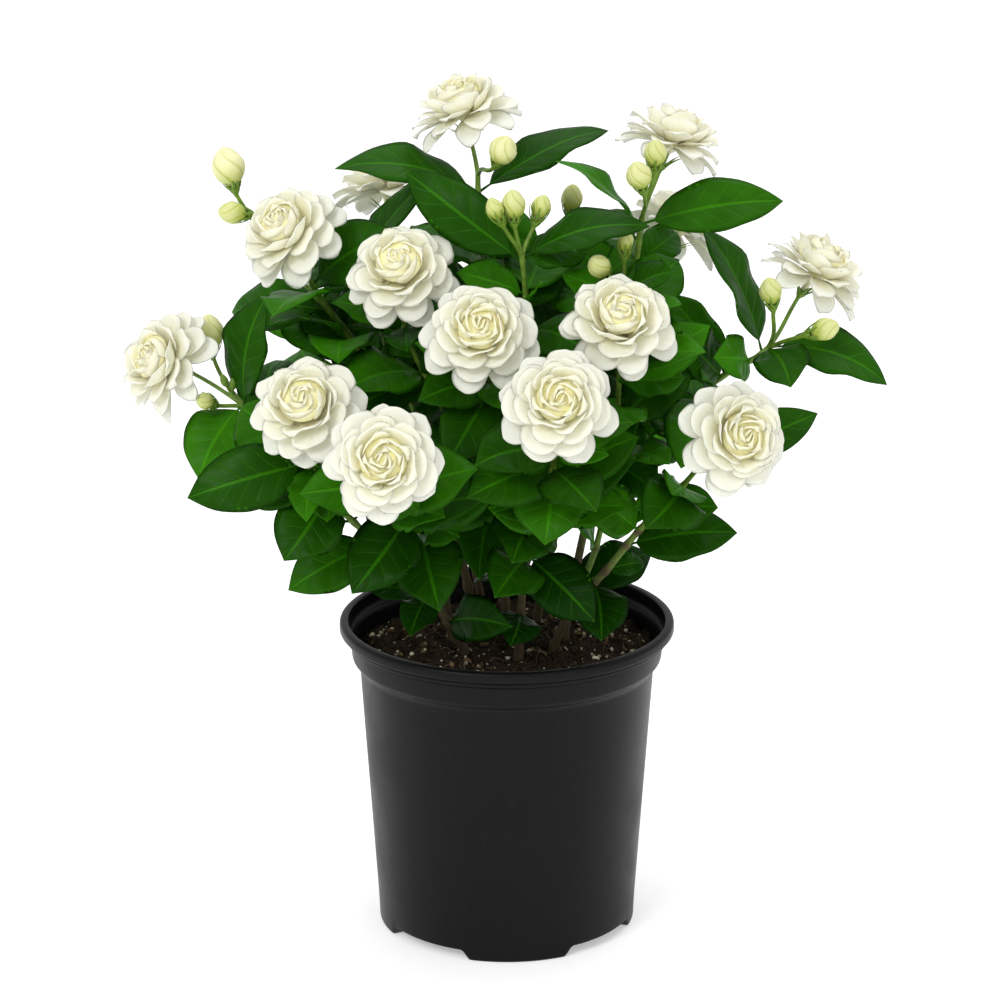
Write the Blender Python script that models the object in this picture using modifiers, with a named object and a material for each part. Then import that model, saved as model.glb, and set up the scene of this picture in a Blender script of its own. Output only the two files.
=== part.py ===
"""Potted jasmine: a double-flowered jasmine shrub in a black nursery pot.

The tables hold millimetres, and MM turns them into metres when a mesh is made. The pot stands
on z = 0 with its axis on Z. X runs to the right, Y to the back.

The shrub is nine leafy stems. Each is one body: its woody base stands in a hole in the soil,
its shoots fork from it, and the shoots carry leaves, flower stalks and green calyxes. Blooms
and buds are bodies of their own that sit in the calyxes. The leaves that give the shrub its
outline are aimed by hand. The others grow in crossed pairs along the shoots by a rule, which
turns each leaf until it is clear of everything placed before it.
"""
import math
import random

import bmesh
import bpy
import numpy as np
from mathutils import Matrix, Vector

MM = 0.001
GAP = 0.3
SEED = 7
MERGE = 0.0001

# Pot, in millimetres. A drop is a depth below the top of the rim.
POT_HEIGHT = 164.0
RIM_RADIUS = 86.0
RIM_MOUTH = 81.4
RIM_DROP = 5.6
LEDGE_RADIUS = 83.5
LEDGE_DROP = 8.6
COLLAR_RADIUS = 80.6
COLLAR_DROP = 20.0
NECK_RADIUS = 75.8
NECK_DROP = 23.5
BASE_RADIUS = 67.0
BASE_ROUND = 2.5
WALL = 1.6
FLOOR = 1.8
POT_SIDES = 30

# Feet: four notches in the base leave four feet, and a drain hole opens over each notch.
FEET = 4
NOTCH_TURN = math.radians(50.0)
NOTCH_HEIGHT = 5.0
NOTCH_WIDE = 50.0
NOTCH_NARROW = 42.0
NOTCH_INNER = 50.0
DRAIN_RADIUS = 4.5
DRAIN_AT = 57.0

# Soil
SOIL_EDGE = 146.0
SOIL_CROWN = 151.5
HOLE_BOTTOM = 104.0
HOLE_TOP = 165.0
HOLE_SIDES = 8

# Shoots, as tubes with a ring about every so many millimetres
SHOOT_STEP = 32.0

# Leaves
LEAF_THICK = 0.9
PETIOLE = 0.1
PETIOLE_HALF = 0.8
LEAF_STATIONS = (0.0, 0.15, 0.42, 0.78, 1.0)
LEAF_FOLD = 0.22
LEAF_WAVE = 0.8
INTERNODE = 40.0
FIRST_PAIR = 20.0
AIMED_APART = 4.4
PAIRED_APART = 26.0

# Calyx, bloom and bud, each along its own axis from the foot of the calyx
CALYX_FOOT = 1.2
CALYX_RADIUS = 3.0
CALYX_HEIGHT = 4.0
CALYX_FLOOR = 2.2
BLOOM_SEPALS = 4
BLOOM_SEPAL_TIP = (5.0, 10.5)
BUD_SEPALS = 3
SEAT = CALYX_HEIGHT + GAP
HEAD = 17.0
BUD_SHAPE = ((0.0, 1.0), (0.62, 0.86), (1.0, 0.52), (0.62, 0.2), (0.0, 0.0))
BUD_NECK = 1.8
BUD_SIDES = 6

# Neck of a bloom as rings of (radius, height) from its foot up. The petals of each whorl grow
# between two rings that follow each other, from the second ring on.
PETALS = 7
NECK = ((1.7, SEAT), (2.6, 12.0), (3.4, 14.8), (3.4, 17.6), (3.0, 20.4), (6.5, 28.0))

# Whorls of petals: length, half width, angle from the axis at the root and at the tip, turn of
# the tips about the axis in degrees
WHORLS = (
    (27.5, 8.2, 78.0, 102.0, -8.0),
    (21.0, 7.8, 74.0, 44.0, 14.0),
    (21.5, 5.6, 88.0, -42.0, 34.0),
)
PETAL_NOTCH = 0.42
PETAL_MIDDLE = 0.58
PETAL_SHOULDER = 0.84
PETAL_CUP = 2.2
PETAL_THICK = 1.1

# Shoots: the stem each is part of, its radius at both ends, and its path. The first shoot of
# a stem starts in the soil, and the others start inside a shoot of the same stem.
SHOOTS = {
    "far_left": ("stem_left", 2.2, 1.3, (
        (-28, 2, 154), (-36, -2, 188), (-60, -10, 225), (-95, -17, 255), (-120, -20, 272),
        (-132, -20, 283))),
    "upper_left": ("stem_upper_left", 2.3, 1.3, (
        (-16, 18, 154), (-26, 14, 200), (-46, 4, 250), (-72, -8, 305), (-90, -16, 333),
        (-98, -20, 348))),
    "left_twig": ("stem_upper_left", 1.3, 1.0, (
        (-88, -15, 330), (-108, -3, 349), (-122, 2, 365), (-129, 3, 376))),
    "low_left": ("stem_low_left", 2.3, 1.3, (
        (-22, -20, 154), (-38, -35, 186), (-54, -50, 208), (-74, -72, 237), (-90, -84, 258),
        (-97, -87, 276))),
    "low_front": ("stem_low_left", 1.7, 1.3, (
        (-34, -31, 178), (-38, -44, 212), (-46, -66, 238), (-54, -98, 258), (-57, -116, 271))),
    "top": ("stem_centre", 2.4, 1.3, (
        (0, 6, 154), (-2, 5, 200), (-6, 3, 250), (-10, 2, 305), (-14, 0, 360), (-14.5, 0, 398))),
    "left_centre": ("stem_centre", 1.7, 1.2, (
        (-3, 4.6, 212), (-16, -6, 248), (-36, -24, 290), (-49, -36, 322), (-51, -40, 334))),
    "centre": ("stem_centre", 1.7, 1.2, (
        (-4.5, 4, 232), (-4, -12, 262), (-6, -42, 290), (-8, -64, 307), (-9.5, -72, 315))),
    "front": ("stem_front", 2.2, 1.3, (
        (6, -26, 154), (8, -32, 190), (12, -46, 220), (18, -74, 250), (22, -96, 274),
        (23, -106, 292))),
    "bud_spray": ("stem_front", 1.7, 1.2, (
        (7, -29, 174), (10, -32, 215), (12, -36, 265), (11, -42, 318), (8, -48, 358),
        (7, -50, 368))),
    "low_right": ("stem_low_right", 2.2, 1.3, (
        (24, -16, 154), (34, -21, 178), (49, -30, 198), (66, -41, 224), (86, -58, 252),
        (97, -70, 270))),
    "right_front": ("stem_low_right", 1.7, 1.2, (
        (30, -19, 170), (45, -20, 208), (53, -28, 258), (55, -44, 298), (54, -62, 320))),
    "bud_twig": ("stem_low_right", 1.2, 1.0, ((54.5, -42, 294), (57, -42, 325), (57, -46, 350))),
    "upper_right": ("stem_right", 2.3, 1.3, (
        (30, 6, 154), (37, 6, 195), (48, 4, 250), (58, 1, 305), (64, -3, 348), (67, -5, 376))),
    "right": ("stem_right", 1.8, 1.3, (
        (39, 5.6, 205), (58, 3, 240), (86, 0, 272), (108, -4, 293), (124, -5, 303),
        (132, -5, 309))),
    "back_left": ("stem_back_left", 2.2, 1.2, (
        (-12, 36, 154), (-22, 38, 200), (-44, 38, 255), (-64, 36, 305), (-75, 38, 340))),
    "back": ("stem_back_left", 1.7, 1.2, (
        (-17, 37.5, 180), (-28, 56, 220), (-42, 82, 255), (-50, 94, 276))),
    "back_side": ("stem_back_left", 1.5, 1.1, (
        (-44, 38, 255), (-82, 50, 278), (-112, 56, 296))),
    "back_right": ("stem_back_right", 2.2, 1.2, (
        (16, 30, 154), (26, 35, 200), (46, 44, 255), (66, 50, 302), (78, 51, 338))),
    "back_spray": ("stem_back_right", 1.6, 1.1, (
        (19, 32, 176), (21, 38, 225), (25, 46, 285), (28, 47, 338), (30, 45, 352))),
    "back_low": ("stem_back_right", 1.6, 1.2, (
        (32, 38, 215), (48, 62, 246), (56, 86, 262), (58, 94, 267))),
    "back_centre": ("stem_back_right", 1.5, 1.2, (
        (20.5, 37, 216), (18, 54, 248), (16, 70, 278), (15, 78, 292))),
    "right_back_side": ("stem_back_right", 1.5, 1.1, (
        (44, 43, 250), (80, 56, 274), (110, 60, 294))),
}

# Blooms: shoot, centre, axis
BLOOMS = (
    ("top", (-22, 0, 429), (-0.25, -0.1, 0.95)),
    ("back_left", (-62, 60, 377), (-0.1, 0.35, 0.93)),
    ("upper_left", (-107, -30, 374), (-0.45, -0.5, 0.7)),
    ("left_centre", (-51.5, -60, 362), (-0.1, -0.7, 0.7)),
    ("centre", (-12.5, -95, 339.5), (0, -0.75, 0.6)),
    ("right_front", (54, -90, 344.5), (0.1, -0.7, 0.7)),
    ("front", (24, -130, 315), (0.05, -0.85, 0.5)),
    ("far_left", (-170.5, -20, 305.5), (-0.7, -0.5, 0.45)),
    ("low_left", (-96, -105, 306), (-0.15, -0.75, 0.65)),
    ("low_front", (-58, -150, 293), (0, -0.93, 0.37)),
    ("upper_right", (82.5, 16, 411), (0.35, 0.1, 0.9)),
    ("right", (156, 10, 345), (0.5, -0.1, 0.8)),
    ("low_right", (110, -95, 289), (0.35, -0.85, 0.3)),
    ("back_right", (90, 60, 356), (0.45, 0.45, 0.75)),
    ("back", (-60, 112, 296), (-0.35, 0.65, 0.65)),
    ("back_low", (62, 112, 276), (0.3, 0.75, 0.55)),
    ("back_centre", (15, 95, 312), (0, 0.7, 0.7)),
)

# Buds: shoot, centre, axis, length, radius
BUDS = (
    ("left_twig", (-138.5, 4, 399.5), (-0.25, 0.1, 0.95), 20, 8.2),
    ("left_twig", (-136, -11, 379.5), (-0.9, -0.45, 0.2), 15, 5.6),
    ("far_left", (-149, -2, 316), (-0.1, 0.15, 1), 18, 6.8),
    ("far_left", (-150, -33, 289), (-0.5, -0.6, 0.4), 11, 4.2),
    ("top", (-2, -33, 416), (0.35, -0.45, 0.8), 16, 6.8),
    ("bud_spray", (-6, -60, 393), (-0.4, -0.2, 0.9), 12, 4.2),
    ("bud_spray", (3, -55, 394), (-0.05, -0.1, 1), 15, 5.8),
    ("bud_spray", (16.5, -45, 390.5), (0.35, 0.1, 0.95), 12, 4.8),
    ("back_spray", (33, 40, 375), (0.1, -0.1, 1), 15, 5.5),
    ("bud_twig", (57.5, -50, 375), (0.05, -0.1, 1), 12, 3.8),
    ("bud_twig", (44.5, -58, 364), (-0.5, -0.4, 0.8), 13, 5.6),
    ("upper_right", (64, -40, 405), (-0.25, -0.3, 0.9), 15, 6.2),
    ("upper_right", (72.5, -24, 412.5), (0.05, -0.2, 0.95), 14, 5.6),
    ("right", (130.5, -22, 342.5), (-0.15, -0.15, 1), 14, 5.6),
    ("right", (157.5, -28, 324.5), (0.85, -0.3, 0.35), 15, 5.6),
)

# Leaves aimed by hand: shoot, place near its root, tip, width, roll in degrees, arch
LEAVES = (
    ("top", (-14, 0, 387), (-82, -15, 412), 27, 20, 0.13),
    ("top", (-14, 0, 387), (52, 20, 417), 25, -20, 0.08),
    ("bud_spray", (7, -50, 364), (-44, -42, 415), 25, 0, 0.1),
    ("bud_spray", (7, -50, 365), (65, -42, 393), 25, 0, 0.1),
    ("bud_spray", (10, -44, 340), (17, -62, 357), 10, 0, 0.05),
    ("upper_right", (66, -5, 368), (26, -15, 409), 23, 0, 0.08),
    ("upper_right", (67, -5, 372), (138, 5, 382), 25, 0, 0.1),
    ("upper_right", (65, -3, 352), (87, 25, 362), 18, 0, 0.08),
    ("upper_right", (62, -1, 332), (90, 25, 341), 18, 0, 0.08),
    ("upper_right", (61, -1, 330), (27, -5, 369), 24, 0, 0.06),
    ("right", (128, -5, 306), (98.5, 6, 370), 31, 30, 0.06),
    ("right", (132, -5, 309), (191, -15, 294), 27, -15, 0.12),
    ("right", (132, -5, 307), (140, -40, 299), 26, 0, 0.08),
    ("right", (122, -5, 302), (104, -34, 312), 22, 0, 0.05),
    ("right", (108, -4, 293), (87, -22, 320), 26, 0, 0.05),
    ("right", (96, -2, 282), (86, -52, 260), 28, 0, 0.1),
    ("right", (76, 1, 262), (61, -5, 303), 18, 0, 0.05),
    ("right", (110, -4, 294), (84, 12, 336), 20, 0, 0.06),
    ("right_front", (54, -46, 302), (99, -32, 329), 22, 0, 0.06),
    ("right_front", (53, -28, 256), (74, -48, 247), 24, 0, 0.06),
    ("right_front", (54, -36, 280), (62, -60, 281), 14, 0, 0.05),
    ("right_front", (45, -20, 208), (31, -40, 237), 22, 0, 0.05),
    ("low_right", (96, -69, 268), (154, -46, 287), 20, 0, 0.08),
    ("low_right", (86, -58, 252), (68, -102, 246), 31, 0, 0.1),
    ("low_right", (72, -46, 233), (102, -62, 249), 23, 0, 0.06),
    ("low_right", (60, -37, 215), (115, -45, 224), 27, 0, 0.1),
    ("low_right", (66, -41, 224), (39, -60, 253), 23, 0, 0.06),
    ("low_right", (50, -31, 199), (70, -20, 200), 11, 0, 0.05),
    ("low_right", (44, -27, 191), (47, -62, 173), 25, 0, 0.08),
    ("front", (21, -92, 268), (18, -124, 245), 33, 0, 0.1),
    ("front", (14, -56, 232), (3, -101, 228), 31, 0, 0.1),
    ("front", (10, -40, 208), (-5, -79, 203), 28, 0, 0.1),
    ("front", (11, -42, 210), (46, -69, 193), 27, 0, 0.1),
    ("front", (7, -28, 176), (2, -61, 171), 21, 0, 0.08),
    ("centre", (-7, -58, 302), (-29, -101, 277), 27, 0, 0.1),
    ("top", (-4, 4, 228), (-14, -47, 200), 26, 0, 0.1),
    ("low_left", (-97, -87, 272), (-155, -95, 258), 29, 0, 0.1),
    ("low_left", (-88, -83, 255), (-108, -106, 230), 30, 0, 0.08),
    ("low_left", (-96, -87, 270), (-96, -122, 256), 17, 0, 0.06),
    ("low_left", (-66, -63, 224), (-108, -76, 205), 25, 0, 0.1),
    ("low_left", (-40, -37, 188), (-48, -69, 179), 17, 0, 0.06),
    ("low_left", (-30, -28, 170), (1, -63, 181), 22, 0, 0.08),
    ("low_front", (-48, -74, 244), (-75, -111, 215), 30, 0, 0.1),
    ("low_front", (-42, -56, 228), (-33, -103, 203), 32, 0, 0.1),
    ("low_front", (-44, -62, 234), (-5, -91, 263), 29, 0, 0.08),
    ("upper_left", (-88, -15, 331), (-152, 4, 345), 24, 0, 0.1),
    ("upper_left", (-80, -12, 317), (-116, -46, 334), 25, 0, 0.08),
    ("far_left", (-131, -20, 282), (-120, -30, 342), 27, 0, 0.06),
    ("far_left", (-132, -20, 283), (-155, -47, 255), 30, 0, 0.1),
    ("back_left", (-75, 38, 340), (-41, 14, 392), 23, 0, 0.06),
)

# Outline of the crown as seen from the front and SLOPE above, as (x, z + SLOPE y). Leaves
# placed by the rule stay inside it.
SLOPE = 0.315
CROWN = (
    (-151, 332), (-136, 348), (-103, 352), (-81, 376), (-53, 394), (-28, 390), (6, 376),
    (26, 366), (36, 383), (56, 386), (66, 371), (85, 366), (91, 337), (89, 314), (103, 306),
    (124, 300), (124, 288), (98, 280), (90, 259), (99, 216), (94, 203), (68, 187), (54, 160),
    (7, 156), (-55, 160), (-68, 178), (-106, 187), (-118, 216), (-154, 232), (-161, 259),
    (-139, 280), (-142, 306),
)
CROWN_DEPTH = 150.0
LOWEST_LEAF = 163.0
BLOOM_REACH = 31.5
BLOOM_LOW = 9.0
BLOOM_HIGH = 37.0
TWIG_APART = 1.8


# Vectors and paths

def unit(vector):
    vector = np.asarray(vector, float)
    return vector / np.linalg.norm(vector)


def turned_about(vector, axis, angle):
    """Turn a vector about a unit axis."""
    return (vector * math.cos(angle) + np.cross(axis, vector) * math.sin(angle)
            + axis * np.dot(axis, vector) * (1 - math.cos(angle)))


def smooth_path(knots, step=2.0):
    """Catmull-Rom curve through the knots, with a point about every step millimetres."""
    knots = np.array(knots, float)
    knots = np.vstack([2 * knots[0] - knots[1], knots, 2 * knots[-1] - knots[-2]])
    pieces = []
    for a, b, c, d in zip(knots, knots[1:], knots[2:], knots[3:]):
        count = max(1, round(np.linalg.norm(c - b) / step))
        t = np.linspace(0, 1, count, endpoint=False)[:, None]
        pieces.append(0.5 * (2 * b + (c - a) * t + (2 * a - 5 * b + 4 * c - d) * t ** 2
                             + (3 * b - a - 3 * c + d) * t ** 3))
    pieces.append(knots[-2:-1])
    return np.vstack(pieces)


def stalk_path(start, leaving, end, arriving, count=7):
    """Bezier curve that leaves start along one direction and reaches end along another."""
    reach = np.linalg.norm(end - start) * 0.4
    a, b, c, d = start, start + leaving * reach, end - arriving * reach, end
    t = np.linspace(0, 1, count)[:, None]
    return (a * (1 - t) ** 3 + 3 * b * t * (1 - t) ** 2 + 3 * c * t ** 2 * (1 - t)
            + d * t ** 3)


def shoot_path(name):
    return smooth_path(SHOOTS[name][3])


def shoot_line(name):
    """The shoot's path and radii thinned out to the rings of its tube."""
    path = shoot_path(name)
    length = np.linalg.norm(np.diff(path, axis=0), axis=1).sum()
    count = max(2, round(length / SHOOT_STEP) + 1)
    picks = np.linspace(0, len(path) - 1, count).round().astype(int)
    return path[picks], np.linspace(SHOOTS[name][1], SHOOTS[name][2], count)


def on_shoot(name, place):
    """The point on the middle of a shoot's tube that is nearest to a place."""
    line, _ = shoot_line(name)
    start, run = line[:-1], np.diff(line, axis=0)
    t = np.clip(((place - start) * run).sum(axis=1) / (run ** 2).sum(axis=1), 0, 1)
    spots = start + t[:, None] * run
    return spots[np.linalg.norm(spots - place, axis=1).argmin()]


def axis_frame(foot, axis):
    """Matrix that carries +Z to the axis and the origin to the foot, in millimetres."""
    turn = Vector((0, 0, 1)).rotation_difference(Vector(axis))
    return Matrix.Translation(Vector(foot)) @ turn.to_matrix().to_4x4()


def bloom_foot(centre, axis):
    return np.array(centre, float) - HEAD * unit(axis)


def bud_foot(centre, axis, length):
    return np.array(centre, float) - (SEAT + length / 2) * unit(axis)


# Leaf form

class Leaf:
    """A leaf from its root to its tip: midrib, half width and the direction of both."""

    def __init__(self, root, tip, width, roll, arch, phase):
        self.root, self.tip = np.array(root, float), np.array(tip, float)
        self.width, self.arch, self.phase = width, arch, phase
        reach = self.tip - self.root
        self.length = np.linalg.norm(reach)
        self.along = reach / self.length
        outward = self.root + self.tip
        outward[2] = 0
        hint = np.array((0, 0, 1.0)) + 0.6 * unit(outward + (0, -1e-6, 0))
        normal = unit(hint - self.along * np.dot(hint, self.along))
        self.normal = turned_about(normal, self.along, math.radians(roll))
        self.side = np.cross(self.normal, self.along)

    def half_width(self, s):
        """Egg-shaped outline after a thin petiole, drawn out to a point."""
        u = np.clip((s - PETIOLE) / (1 - PETIOLE), 0, 1)
        blade = u ** 0.6 * (1 - u) ** 0.85 / 0.374
        return np.maximum(self.width / 2 * blade, PETIOLE_HALF * (1 - s))

    def midrib(self, s):
        bow = self.arch * self.length * 4 * s * (1 - s)
        return (self.root + np.outer(s * self.length, self.along)
                + np.outer(bow, self.normal))

    def point(self, s, v):
        """Place on the blade at s along it and v across it, from -1 to 1."""
        half = self.half_width(s)
        wave = LEAF_WAVE * np.sin(2 * math.pi * 2.4 * s + self.phase + 1.3 * np.sign(v))
        lift = np.abs(v) * (LEAF_FOLD * half + wave * half / (self.width / 2))
        return (self.midrib(s) + np.outer(v * half, self.side)
                + np.outer(lift, self.normal))

    def samples(self):
        s, v = np.meshgrid(np.linspace(0.12, 1, 12), np.linspace(-1, 1, 5))
        return self.point(s.ravel(), v.ravel())


# Where the leaves go

class Crown:
    """Everything placed so far, to keep the leaves clear of it."""

    def __init__(self, blooms):
        self.blooms = blooms
        self.twigs = []
        self.blades = []

    def add_twig(self, points, radius, stem):
        points = np.asarray(points, float)
        self.twigs.append((points, radius, stem, points.min(axis=0), points.max(axis=0)))

    def add_leaf(self, leaf, stem):
        points = leaf.samples()
        self.blades.append((points, leaf.root, stem, points.min(axis=0), points.max(axis=0)))

    def clear(self, leaf, stem, spacing):
        points = leaf.samples()
        return (points[:, 2].min() > LOWEST_LEAF and self.clear_of_blooms(points)
                and self.clear_of_twigs(points, leaf, stem)
                and self.clear_of_blades(points, leaf, stem, spacing))

    def clear_of_blooms(self, points):
        for foot, axis in self.blooms:
            offset = points - foot
            height = offset @ axis
            radius = np.linalg.norm(offset - np.outer(height, axis), axis=1)
            limit = BLOOM_REACH - 0.8 * np.maximum(height - 20, 0)
            if np.any((height > BLOOM_LOW) & (height < BLOOM_HIGH) & (radius < limit)):
                return False
        return True

    def clear_of_twigs(self, points, leaf, stem):
        for places, radius, owner in near_clouds(self.twigs, points, TWIG_APART + 9):
            if owner == stem:
                places = places[np.linalg.norm(places - leaf.root, axis=1) > 9]
            if len(places) and distance(points, places) < radius + TWIG_APART:
                return False
        return True

    def clear_of_blades(self, points, leaf, stem, spacing):
        for places, root, owner in near_clouds(self.blades, points, spacing):
            gap = spacing
            cloud = points
            if owner == stem and np.linalg.norm(root - leaf.root) < 12:
                cloud = points[np.linalg.norm(points - leaf.root, axis=1) > 16]
                gap = 3.0
            if distance(cloud, places) < gap:
                return False
        return True


def near_clouds(clouds, points, margin):
    """The clouds of points whose boxes come within a margin of the points' own box."""
    if not clouds:
        return []
    low = np.array([cloud[3] for cloud in clouds]) - margin
    high = np.array([cloud[4] for cloud in clouds]) + margin
    near = np.all((low < points.max(axis=0)) & (high > points.min(axis=0)), axis=1)
    return [clouds[index][:3] for index in np.flatnonzero(near)]


def distance(points, others):
    """Shortest distance between two clouds of points."""
    gaps = points[:, None, :] - others[None, :, :]
    return math.sqrt((gaps ** 2).sum(axis=2).min())


def in_outline(points):
    """True if every point lies inside the crown's outline and depth."""
    x, z = points[:, 0], points[:, 2] + SLOPE * points[:, 1]
    inside = np.zeros(len(points), bool)
    corners = np.array(CROWN, float)
    for (x0, z0), (x1, z1) in zip(corners, np.roll(corners, -1, axis=0)):
        crosses = (z0 > z) != (z1 > z)
        rise = z1 - z0 if z1 != z0 else 1.0
        inside ^= crosses & (x < x0 + (z - z0) * (x1 - x0) / rise)
    return bool(inside.all()) and np.abs(points[:, 1]).max() < CROWN_DEPTH


def aimed_leaves(crown, draw):
    """The leaves aimed by hand, each turned a few degrees where something is in its way."""
    placed = []
    for shoot, near, tip, width, roll, arch in LEAVES:
        stem = SHOOTS[shoot][0]
        root = on_shoot(shoot, np.array(near, float))
        phase = draw.uniform(0, 6.28)
        for swing, tilt, shrink in aim_steps():
            leaf = swung_leaf(root, tip, swing, tilt, shrink, width, roll, arch, phase)
            if crown.clear(leaf, stem, AIMED_APART):
                crown.add_leaf(leaf, stem)
                placed.append((stem, leaf))
                break
    return placed


def aim_steps():
    for shrink in (1.0, 0.88, 0.76):
        for turn in (0, 5, 10, 16, 22):
            for swing, tilt in ((turn, 0), (-turn, 0), (0, turn), (0, -turn), (turn, turn),
                                (-turn, -turn), (turn, -turn), (-turn, turn)):
                yield swing, tilt, shrink


def swung_leaf(root, tip, swing, tilt, shrink, width, roll, arch, phase):
    """A leaf whose reach is turned about Z by swing and raised by tilt, both in degrees."""
    reach = (np.array(tip, float) - root) * shrink
    reach = turned_about(reach, np.array((0, 0, 1.0)), math.radians(swing))
    level = np.array((-reach[1], reach[0], 0.0))
    if np.linalg.norm(level) > 1e-6:
        reach = turned_about(reach, unit(level), math.radians(-tilt))
    return Leaf(root, root + reach, width * shrink, roll, arch, phase)


def paired_leaves(crown, draw):
    """Crossed pairs of leaves along every shoot, wherever there is room for them."""
    placed = []
    for shoot, (stem, _, _, _) in SHOOTS.items():
        path = shoot_path(shoot)
        lengths = np.concatenate([[0], np.cumsum(np.linalg.norm(np.diff(path, axis=0), axis=1))])
        turn = draw.uniform(0, math.pi)
        at = FIRST_PAIR
        while at < lengths[-1] + 1:
            root = on_shoot(shoot, path[min(np.searchsorted(lengths, at), len(path) - 1)])
            for half_turn in (0, math.pi):
                choice = [draw.uniform(-1, 1) for _ in range(6)]
                leaf = free_leaf(crown, stem, root, turn + half_turn, choice)
                if leaf:
                    crown.add_leaf(leaf, stem)
                    placed.append((stem, leaf))
            turn += math.pi / 2 + draw.uniform(-0.3, 0.3)
            at += INTERNODE
    return placed


def free_leaf(crown, stem, root, azimuth, choice):
    """The first of a fixed series of aims that is clear, or nothing."""
    length = 50 + 8 * choice[0]
    rise = math.radians(14 + 16 * choice[1])
    for shrink in (1.0, 0.82, 0.66):
        for swing in (0, 0.45, -0.45, 0.9, -0.9):
            for lift in (0, 0.45, -0.45):
                angle = azimuth + 0.3 * choice[2] + swing
                slope = rise + lift
                aim = np.array((math.cos(angle) * math.cos(slope),
                                math.sin(angle) * math.cos(slope), math.sin(slope)))
                size = length * shrink
                leaf = Leaf(root, root + aim * size, size * (0.5 + 0.05 * choice[3]),
                            12 * choice[4], 0.08 + 0.04 * choice[5], 3 * choice[2])
                if in_outline(leaf.samples()) and crown.clear(leaf, stem, PAIRED_APART):
                    return leaf
    return None


def plan_stalks():
    """Flower and bud stalks: stem, path, foot and axis of the calyx, its sepals and a tip."""
    heads = [(shoot, bloom_foot(centre, axis), axis, BLOOM_SEPALS, BLOOM_SEPAL_TIP)
             for shoot, centre, axis in BLOOMS]
    for shoot, centre, axis, length, radius in BUDS:
        tip = (0.62 * radius + 2.2, SEAT + 0.2 * length)
        heads.append((shoot, bud_foot(centre, axis, length), axis, BUD_SEPALS, tip))
    stalks = []
    for shoot, foot, axis, count, tip in heads:
        path = shoot_path(shoot)
        leaving = unit(path[-1] - path[-3])
        stalk = stalk_path(path[-2], leaving, foot + unit(axis), unit(axis))
        stalks.append((SHOOTS[shoot][0], stalk, foot, unit(axis), count, tip))
    return stalks


def plan_leaves(stalks):
    """Every leaf with the stem that it grows on."""
    draw = random.Random(SEED)
    crown = Crown([(bloom_foot(centre, axis), unit(axis)) for _, centre, axis in BLOOMS])
    for _, centre, axis, length, radius in BUDS:
        foot = bud_foot(centre, axis, length)
        crown.add_twig([foot + unit(axis) * (SEAT + length * t) for t in (0.25, 0.5, 0.75)],
                       radius, "bud")
    for name, (stem, radius, _, _) in SHOOTS.items():
        crown.add_twig(shoot_path(name), radius, stem)
    for stem, stalk, _, _, _, _ in stalks:
        crown.add_twig(stalk, 3.0, stem)
    return aimed_leaves(crown, draw) + paired_leaves(crown, draw)


# Meshes and booleans

def new_object(name, mesh, collection):
    made = bpy.data.objects.new(name, mesh)
    collection.objects.link(made)
    return made


def closed_mesh(name, points, faces):
    """A mesh from points in millimetres, with its faces turned outward."""
    shape = bmesh.new()
    corners = [shape.verts.new(Vector(point) * MM) for point in points]
    for face in faces:
        shape.faces.new([corners[i] for i in face])
    bmesh.ops.recalc_face_normals(shape, faces=shape.faces)
    mesh = bpy.data.meshes.new(name)
    shape.to_mesh(mesh)
    shape.free()
    return mesh


def blade_mesh(name, rings, pointed):
    """Loft of four-point rings: left edge, upper middle, right edge, lower middle.

    Both faces are split along the same diagonals, and the ends from upper to lower middle, so
    that a thin folded blade never crosses itself.
    """
    points = [corner for ring in rings for corner in ring]
    faces = [(0, 1, 3), (1, 2, 3)]
    last = len(rings) - 1
    for step in range(last):
        a, b = 4 * step, 4 * step + 4
        if step == last - 1 and pointed:
            faces += [(a, a + 1, b), (a + 1, a + 2, b), (a + 2, a + 3, b), (a + 3, a, b)]
            points = points[:b + 1]
            break
        faces += [(a, a + 1, b + 1), (a, b + 1, b), (a + 2, b + 1, a + 1),
                  (a + 2, b + 2, b + 1), (a + 2, a + 3, b + 3), (a + 2, b + 3, b + 2),
                  (a, b + 3, a + 3), (a, b, b + 3)]
    else:
        b = 4 * last
        faces += [(b, b + 3, b + 1), (b + 1, b + 3, b + 2)]
    return closed_mesh(name, points, faces)


def turned_mesh(name, profile, sides, collection):
    """Revolve a profile of (radius, height) that runs down its outer side."""
    mesh = bpy.data.meshes.new(name)
    mesh.from_pydata([(r * MM, 0, z * MM) for r, z in profile],
                     [(i, i + 1) for i in range(len(profile) - 1)], [])
    made = new_object(name, mesh, collection)
    screw = made.modifiers.new("turn", "SCREW")
    screw.steps = sides
    screw.render_steps = sides
    screw.use_merge_vertices = True
    screw.merge_threshold = MERGE
    return made


def applied(made, weld=None):
    """Replace an object by its evaluated mesh, with no modifiers, and weld loose caps."""
    graph = bpy.context.evaluated_depsgraph_get()
    mesh = bpy.data.meshes.new_from_object(made.evaluated_get(graph))
    if weld:
        shape = bmesh.new()
        shape.from_mesh(mesh)
        bmesh.ops.remove_doubles(shape, verts=shape.verts, dist=weld)
        shape.to_mesh(mesh)
        shape.free()
    name, matrix, collection = made.name, made.matrix_world.copy(), made.users_collection[0]
    bpy.data.objects.remove(made)
    result = new_object(name, mesh, collection)
    result.matrix_world = matrix
    return result


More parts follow.
